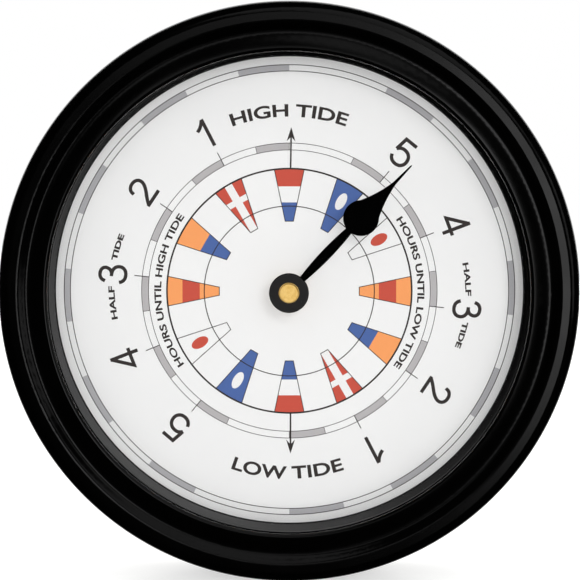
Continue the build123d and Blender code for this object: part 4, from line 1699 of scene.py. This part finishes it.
@dataclass
class Pennants:
    """Twelve numeral pennants round the dial's middle, their tips pointing inwards."""

    dial: DialPrint
    count: int = 12
    tip_r: float = PENNANT_TIP_R
    tip_half: float = 1.28
    wide_half: float = 4.64
    edge_line: float = 0.24
    oval_r: float = 32.2
    oval_radial: float = 2.84
    oval_across: Point = (1.47, 1.62)
    cross_half: float = 1.25
    cross_shoulder: float = 0.6
    cross_bar: Point = (31.15, 33.0)
    order: tuple[Numeral, ...] = (
        Numeral.THREE,
        Numeral.TWO,
        Numeral.ONE,
        Numeral.ZERO,
        Numeral.FIVE,
        Numeral.FOUR,
    )
    oval_steps: int = 40
    edge_steps: int = 8

    def half_width(self, along: float) -> float:
        """Half the pennant's width at a distance along it."""
        share = (along - self.tip_r) / (self.dial.pennant_circle_r - self.tip_r)
        return self.tip_half + share * (self.wide_half - self.tip_half)

    def band(self, low: float, high: float) -> list[Point]:
        """Outline of a band, which ends on the heavy circle where it reaches that far.

        Args:
            low: the radius that it begins at.
            high: the radius that it ends at.

        Returns:
            Its corners, drawn upright.
        """
        outline = [(-self.half_width(low), low), (self.half_width(low), low)]
        if high < self.dial.pennant_circle_r:
            return outline + [(self.half_width(high), high), (-self.half_width(high), high)]
        radius = self.dial.pennant_circle_r
        reach = math.asin(self.wide_half / radius)
        for step in range(self.edge_steps + 1):
            turn = reach * (1 - 2 * step / self.edge_steps)
            outline.append((radius * math.sin(turn), radius * math.cos(turn)))
        return outline

    def oval(self, across: float) -> list[Point]:
        """Outline of the disc on the pennants of one and two.

        Args:
            across: half its width.

        Returns:
            Its corners, drawn upright.
        """
        return [
            (
                across * math.cos(2 * math.pi * i / self.oval_steps),
                self.oval_r + self.oval_radial * math.sin(2 * math.pi * i / self.oval_steps),
            )
            for i in range(self.oval_steps)
        ]

    def stripe(self) -> list[Point]:
        """Outline of the long arm of the cross on the pennant of four."""
        reach = math.sqrt(self.dial.pennant_circle_r**2 - self.cross_half**2)
        shoulder = self.tip_r + self.cross_shoulder
        return [
            (-self.half_width(self.tip_r), self.tip_r),
            (self.half_width(self.tip_r), self.tip_r),
            (self.cross_half, shoulder),
            (self.cross_half, reach),
            (-self.cross_half, reach),
            (-self.cross_half, shoulder),
        ]

    def films(self, numeral: Numeral) -> list[tuple[Ink, list[Point], int]]:
        """Lists what is printed for one pennant.

        Args:
            numeral: the pennant.

        Returns:
            For each film its ink, its outline and its layer.
        """
        films = [(ink, self.band(low, high), 0) for ink, low, high in numeral.value]
        if numeral is Numeral.TWO:
            films.append((Ink.WHITE, self.oval(self.oval_across[0]), 1))
        if numeral is Numeral.ONE:
            films.append((Ink.RED, self.oval(self.oval_across[1]), 1))
        if numeral is Numeral.FOUR:
            films.append((Ink.WHITE, self.stripe(), 1))
            films.append((Ink.WHITE, self.band(*self.cross_bar), 2))
        return films

    def tips(self, ink: bpy.types.Material) -> list[bpy.types.Object]:
        """The short lines that close the pennants' tips.

        Args:
            ink: the ink.

        Returns:
            One piece for each pennant.
        """
        back, front = self.dial.heights(3)
        half = self.edge_line / 2
        line = [
            (-self.tip_half - half, self.tip_r - half),
            (self.tip_half + half, self.tip_r - half),
            (self.tip_half + half, self.tip_r + half),
            (-self.tip_half - half, self.tip_r + half),
        ]
        pieces = []
        for place in range(self.count):
            turned = [placed(spot, 360 / self.count * place, 0.0) for spot in line]
            piece = prisms(f"pennant_tip_{place}", [(turned, back, front)])
            piece.data.materials.append(ink)
            pieces.append(piece)
        return pieces

    def build(self, materials: dict[Ink, bpy.types.Material]) -> list[bpy.types.Object]:
        """Prints the pennants, and their long edges by geometry nodes.

        Args:
            materials: the inks.

        Returns:
            One piece for each film of each pennant, and the outlines.
        """
        pieces = []
        step = 360 / self.count
        for place in range(self.count):
            numeral = self.order[place % len(self.order)]
            for number, (ink, outline, layer) in enumerate(self.films(numeral)):
                back, front = self.dial.heights(layer)
                piece = prisms(
                    f"pennant_{place}_{numeral.name.lower()}_{number}",
                    [([placed(spot, step * place, 0.0) for spot in outline], back, front)],
                )
                piece.data.materials.append(materials[ink])
                pieces.append(piece)
        tree = bar_tree()
        black = materials[Ink.BLACK]
        reach = math.sqrt(self.dial.pennant_circle_r**2 - self.wide_half**2)
        for side, sign in (("right", 1), ("left", -1)):
            pieces.append(
                self.dial.bars(
                    f"pennant_{side}_edges",
                    (self.tip_r, sign * self.tip_half),
                    (reach, sign * self.wide_half),
                    self.edge_line,
                    self.count,
                    step,
                    tree,
                    black,
                )
            )
        return pieces + self.tips(black)


LEGENDS = (
    Legend("legend_high", "HIGH", -18.9, -0.3, 54.1, 58.05, 0.025, tilt=-0.4),
    Legend("legend_high_tide", "TIDE", 2.1, 18.8, 54.1, 58.05, 0.026, tilt=0.4),
    Legend("legend_low", "LOW", 198.1, 180.75, 58.95, 54.75, 0.026, tilt=1.3),
    Legend("legend_low_tide", "TIDE", 179.3, 163.0, 58.8, 54.8, 0.026, tilt=-1.0),
    Legend("legend_half_right", "HALF", 80.8, 91.5, 54.7, 56.55, 0.032, tilt=-1.9),
    Legend("legend_tide_right", "TIDE", 99.95, 108.6, 54.65, 56.45, 0.042, tilt=3.1),
    Legend("legend_half_left", "HALF", 260.8, 271.6, 54.35, 56.3, 0.036, tilt=-2.1),
    Legend("legend_tide_left", "TIDE", 280.0, 288.8, 54.35, 56.15, 0.045, tilt=3.1),
    Legend("legend_ebb", "HOURS UNTIL LOW TIDE", 56.1, 125.6, 39.9, 42.15, 0.03),
    Legend("legend_flood", "HOURS UNTIL HIGH TIDE", 235.3, 305.4, 39.9, 42.15, 0.03),
)


@dataclass
class Lettering:
    """The dial's functional words, set in Blender's own plain face and bent round the dial."""

    dial: DialPrint
    curve_steps: int = 6
    weld: float = 1e-7

    def set_line(self, legend: Legend) -> bpy.types.Object:
        """Sets one line of words.

        Args:
            legend: the line.

        Returns:
            The line as a piece.
        """
        back, front = self.dial.heights(1)
        curve = bpy.data.curves.new(legend.name, "FONT")
        curve.body = legend.words
        curve.size = 1.0
        curve.offset = legend.weight
        curve.extrude = 0.5
        curve.resolution_u = self.curve_steps
        seed = bpy.data.objects.new(legend.name + "_seed", curve)
        bpy.context.scene.collection.objects.link(seed)
        bpy.context.view_layer.update()
        mesh = bpy.data.meshes.new_from_object(
            seed.evaluated_get(bpy.context.evaluated_depsgraph_get())
        )
        bpy.data.objects.remove(seed)
        mesh.name = legend.name
        xs = [v.co.x for v in mesh.vertices]
        ys = [v.co.y for v in mesh.vertices]
        left, right, low, high = min(xs), max(xs), min(ys), max(ys)
        hub = clockwise((legend.start + legend.end) / 2, (legend.base_r + legend.top_r) / 2)
        sine, cosine = math.sin(math.radians(legend.tilt)), math.cos(math.radians(legend.tilt))
        for vertex in mesh.vertices:
            across = (vertex.co.x - left) / (right - left)
            up = (vertex.co.y - low) / (high - low)
            angle = legend.start + across * (legend.end - legend.start)
            radius = legend.base_r + up * (legend.top_r - legend.base_r)
            x, z = clockwise(angle, radius)
            x, z = x - hub[0], z - hub[1]
            x, z = hub[0] + x * cosine + z * sine, hub[1] + z * cosine - x * sine
            height = front if vertex.co.z > 0 else back
            vertex.co = Vector((x * MM, -height * MM, z * MM))
        shape = bmesh.new()
        shape.from_mesh(mesh)
        bmesh.ops.remove_doubles(shape, verts=shape.verts, dist=self.weld)
        bmesh.ops.recalc_face_normals(shape, faces=shape.faces)
        shape.to_mesh(mesh)
        shape.free()
        return link(legend.name, mesh)

    def build(self) -> list[bpy.types.Object]:
        """Sets every line."""
        return [self.set_line(legend) for legend in LEGENDS]


# ------------------------------------------------------------------ the studio


@dataclass(frozen=True)
class SoftBox:
    """A soft lamp that looks at the clock."""

    name: str
    place: tuple[float, float, float]
    width: float
    height: float
    watts: float
    unlit: tuple[str, ...] = ("lens",)
    shadowless: tuple[str, ...] = ()
    only: tuple[str, ...] = ()

    def build(self) -> bpy.types.Object:
        """Sets the lamp up.

        Returns:
            The lamp.
        """
        lamp = bpy.data.lights.new(self.name, "AREA")
        lamp.shape = "RECTANGLE"
        lamp.size = self.width
        lamp.size_y = self.height
        lamp.energy = self.watts
        stand = bpy.data.objects.new(self.name, lamp)
        stand.location = self.place
        stand.rotation_euler = (-Vector(self.place)).to_track_quat("-Z", "Y").to_euler()
        stand.visible_camera = False
        bpy.context.scene.collection.objects.link(stand)
        # Flags on the stand keep the lamp's mirror image off the polished nodes, and hard
        # shadows off the dial
        if self.only:
            stand.light_linking.receiver_collection = self.flag("snoot", self.only, "INCLUDE")
        else:
            stand.light_linking.receiver_collection = self.flag("mirror_flag", self.unlit)
        if self.shadowless:
            stand.light_linking.blocker_collection = self.flag("shadow_flag", self.shadowless)
        return stand

    def flag(
        self, name: str, nodes: tuple[str, ...], state: str = "EXCLUDE"
    ) -> bpy.types.Collection:
        """Collects the nodes that the lamp leaves out, or alone takes in.

        Args:
            name: what the flag is called.
            nodes: the nodes.
            state: whether they are left out or taken in.

        Returns:
            The collection, for the lamp's light linking.
        """
        flag = bpy.data.collections.new(f"{self.name}_{name}")
        for node in nodes:
            flag.objects.link(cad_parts.get(node) or bpy.data.objects[node])
        for kept in flag.collection_objects:
            kept.light_linking.link_state = state
        return flag


@dataclass
class Studio:
    """Floor, world, lamps and the camera at the photograph's angle."""

    floor_z: float = -0.0892
    floor_r: float = 3.0
    floor_steps: int = 96
    floor_colour: str = "#e6e6e4"
    floor_glow: float = 0.55
    paper_cosines: Point = (0.88, 0.94)
    dark_room: float = 0.004
    ambient: float = 0.69
    distance: float = 0.5585
    front_plane: float = 0.0275
    frame_width: float = 0.1783
    elevation: float = 3.3
    azimuth: float = 0.5
    aim: Point = (0.000293, 0.000818)
    sensor: float = 36.0
    nearest: float = 0.01

    def camera(self) -> None:
        """Places the camera where the photographer stood."""
        target = Vector((self.aim[0], -self.front_plane, self.aim[1]))
        up, side = math.radians(self.elevation), math.radians(self.azimuth)
        away = Vector(
            (math.sin(side) * math.cos(up), -math.cos(side) * math.cos(up), math.sin(up))
        )
        data = bpy.data.cameras.new("photo_camera")
        data.sensor_width = self.sensor
        data.lens = self.sensor * self.distance / self.frame_width
        data.clip_start = self.nearest
        holder = bpy.data.objects.new("photo_camera", data)
        holder.location = target + away * self.distance
        holder.rotation_euler = (-away).to_track_quat("-Z", "Y").to_euler()
        bpy.context.scene.collection.objects.link(holder)
        bpy.context.scene.camera = holder

    def world(self) -> None:
        """White backdrop for sight and mirrors, a dark room in front, and even soft light."""
        world = bpy.data.worlds.new("studio")
        world.use_nodes = True
        tree = world.node_tree
        tree.nodes.clear()
        rays = add_node(tree, "ShaderNodeLightPath")
        heading = add_node(tree, "ShaderNodeTexCoord").outputs["Generated"]
        behind = add_node(
            tree, "ShaderNodeVectorMath", {0: heading, 1: (0.0, 1.0, 0.0)}, operation="DOT_PRODUCT"
        )
        # The paper backdrop fills about 25 degrees round the line behind the clock
        paper = add_node(
            tree,
            "ShaderNodeMapRange",
            {
                "Value": behind.outputs["Value"],
                "From Min": self.paper_cosines[0],
                "From Max": self.paper_cosines[1],
                "To Min": self.dark_room,
                "To Max": 1.0,
            },
        )
        bounced = add_node(
            tree,
            "ShaderNodeMath",
            {0: rays.outputs["Is Glossy Ray"], 1: rays.outputs["Is Transmission Ray"]},
            operation="MAXIMUM",
        )
        mirrored = add_node(
            tree,
            "ShaderNodeMath",
            {0: bounced.outputs[0], 1: paper.outputs["Result"]},
            operation="MULTIPLY",
        )
        # Light on its way to a matt surface comes evenly from all round
        matt = add_node(
            tree,
            "ShaderNodeMath",
            {0: rays.outputs["Diffuse Depth"], 1: 0.5},
            operation="GREATER_THAN",
        )
        even = add_node(
            tree,
            "ShaderNodeMix",
            {0: matt.outputs[0], 2: mirrored.outputs[0], 3: self.ambient},
            data_type="FLOAT",
        )
        strength = add_node(
            tree,
            "ShaderNodeMath",
            {0: even.outputs[0], 1: rays.outputs["Is Camera Ray"]},
            operation="MAXIMUM",
        )
        light = add_node(
            tree,
            "ShaderNodeBackground",
            {"Color": (1.0, 1.0, 1.0, 1.0), "Strength": strength.outputs[0]},
        )
        add_node(tree, "ShaderNodeOutputWorld", {"Surface": light.outputs[0]})
        world.cycles.sampling_method = "NONE"
        bpy.context.scene.world = world

    def floor(self) -> None:
        """A plain pale floor that reads as white where it is lit and keeps the shadow."""
        shape = bmesh.new()
        bmesh.ops.create_circle(
            shape, cap_ends=True, segments=self.floor_steps, radius=self.floor_r
        )
        bmesh.ops.translate(shape, verts=shape.verts, vec=(0.0, 0.0, self.floor_z))
        mesh = bpy.data.meshes.new("floor")
        shape.to_mesh(mesh)
        shape.free()
        floor = link("floor", mesh)
        material, tree, _ = start_material("pale paper sweep")
        rays = add_node(tree, "ShaderNodeLightPath")
        strength = add_node(
            tree,
            "ShaderNodeMath",
            {0: rays.outputs["Is Camera Ray"], 1: self.floor_glow},
            operation="MULTIPLY",
        )
        glow = add_node(tree, "ShaderNodeEmission", {"Strength": strength.outputs[0]})
        paper = add_node(tree, "ShaderNodeBsdfDiffuse", {"Color": linear(self.floor_colour)})
        both = add_node(
            tree, "ShaderNodeAddShader", {0: glow.outputs[0], 1: paper.outputs[0]}
        )
        add_node(tree, "ShaderNodeOutputMaterial", {"Surface": both.outputs[0]})
        floor.data.materials.append(material)
        floor.visible_glossy = False
        floor.visible_transmission = False

    def lamps(self) -> None:
        """Soft lamps: frontal ones for the dial, some for the gloss, one for the back."""
        gloss = ("front_bezel", "lens")
        hand = ("tide_hand", "hand_bush")
        clear = ("floor",) + hand
        glass = ("lens", "tide_hand")
        for box in (
            SoftBox("key_box", (0.42, -1.55, 0.42), 0.5, 0.5, 5.1, gloss, ("floor",)),
            SoftBox("left_box", (-0.42, -1.55, 0.42), 0.5, 0.5, 2.8, gloss, clear),
            SoftBox("low_right_box", (0.42, -1.55, -0.42), 0.5, 0.5, 4.4, gloss, clear),
            SoftBox("low_left_box", (-0.42, -1.55, -0.42), 0.5, 0.5, 2.4, gloss, clear),
            SoftBox("front_box", (0.0, -1.7, 0.0), 0.6, 0.6, 4.7, gloss + hand, clear),
            SoftBox("rim_box", (0.33, -1.5, 0.05), 0.3, 0.56, 0.7, glass, ("floor",)),
            SoftBox("brow_box", (-0.12, -1.5, 0.33), 0.56, 0.24, 0.15, glass, ("floor",)),
            SoftBox("overhead_box", (0.4, -0.65, 1.1), 1.5, 1.6, 1.8),
            SoftBox("lining_box", (0.8, -1.0, 0.8), 1.6, 1.6, 950.0, only=("spacer_ring",)),
            SoftBox("side_box", (1.6, -0.6, 0.25), 0.9, 0.9, 0.8, only=("front_bezel",)),
            SoftBox("back_box", (0.3, 1.7, 0.5), 0.9, 0.7, 14.0, gloss),
        ):
            box.build()

    def build(self) -> None:
        """Sets up the whole studio."""
        self.camera()
        self.world()
        self.floor()
        self.lamps()
        bpy.context.scene.view_settings.view_transform = "Standard"


# -------------------------------------------------------------- the sub-assemblies


@dataclass
class Case:
    """Bezel, glass, spacer ring, back cover and its screws, as the CAD has them."""

    finishes: tuple[tuple[str, object], ...] = (
        ("front_bezel", POLISHED_BLACK_ABS),
        ("lens", FloatGlass()),
        ("spacer_ring", DULL_BLACK_ABS),
        ("back_cover", GRAINED_BLACK_ABS),
        ("case_screws", ZINC_STEEL),
    )

    def build(self) -> None:
        """Dresses the case."""
        for node, finish in self.finishes:
            dress_node(node, finish.material())


@dataclass
class Movement:
    """The battery movement: housing, train, motor, circuit and cell."""

    finishes: tuple[tuple[str, object], ...] = (
        ("movement_housing", MOVEMENT_BLACK_ABS),
        ("movement_rear_cover", COVER_BLACK_ABS),
        ("train_bridge", GREY_ACETAL),
        ("centre_arbor", BRIGHT_STEEL),
        ("rotor", FERRITE),
        ("stator", SOFT_IRON),
        ("coil_bobbin", BOBBIN_NYLON),
        ("coil_winding", WoundWire()),
        ("circuit_board", CircuitLaminate()),
        ("chip_cap", CHIP_RESIN),
        ("quartz_crystal", NICKEL),
        ("setting_knob", KNOB_ACETAL),
        ("battery_cell", CellJacket()),
        ("rubber_washer", NITRILE),
        ("threaded_bush", MACHINED_BRASS),
    )
    wheels: tuple[str, ...] = (
        "tide_wheel",
        "intermediate_wheel",
        "clutch_wheel",
        "third_wheel",
        "fourth_wheel",
        "fifth_wheel",
    )

    def build(self) -> None:
        """Dresses the movement."""
        for node, finish in self.finishes:
            dress_node(node, finish.material())
        acetal = WHITE_ACETAL.material()
        for node in self.wheels:
            dress_node(node, acetal)
        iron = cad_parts["stator"].material_slots[0].material
        dress_node("coil_core", iron)
        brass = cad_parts["threaded_bush"].material_slots[0].material
        for node in ("fixing_washer", "dial_nut"):
            dress_node(node, brass)
        nickel = NICKEL.material()
        for node in ("positive_contact", "negative_contact"):
            dress_node(node, nickel)


@dataclass
class Hand:
    """The tide hand and its brass bush."""

    def build(self) -> None:
        """Dresses the hand."""
        dress_node("tide_hand", HandEnamel().material())
        dress_node("hand_bush", TURNED_BRASS.material())


@dataclass
class Dial:
    """The dial sheet with its print."""

    def build(self) -> None:
        """Dresses the sheet and prints on it."""
        dress_node("dial_plate", CoatedSheet().material())
        low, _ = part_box("dial_plate")
        dial = DialPrint(sheet_h=-low.y / MM)
        inks = {ink: ink.value.material() for ink in Ink}
        black = inks[Ink.BLACK]
        pieces = dial.circles(inks)
        pieces += dial.scale_cells(inks)
        pieces += dial.scale_lines(black)
        pieces += HourNumbers(dial).build()
        pieces += TideArrows(dial).build()
        pieces += Pennants(dial).build(inks)
        pieces += Lettering(dial).build()
        for piece in pieces:
            finish_piece(piece, black, CASE, "dial_sheet")


def main() -> None:
    """Builds the sub-assemblies in order and then the studio."""
    logging.basicConfig(level=logging.INFO, format="%(message)s")
    for part in (Case(), Dial(), Hand(), Movement(), Studio()):
        LOG.info("building %s", type(part).__name__)
        part.build()


if __name__ == "__main__":
    main()
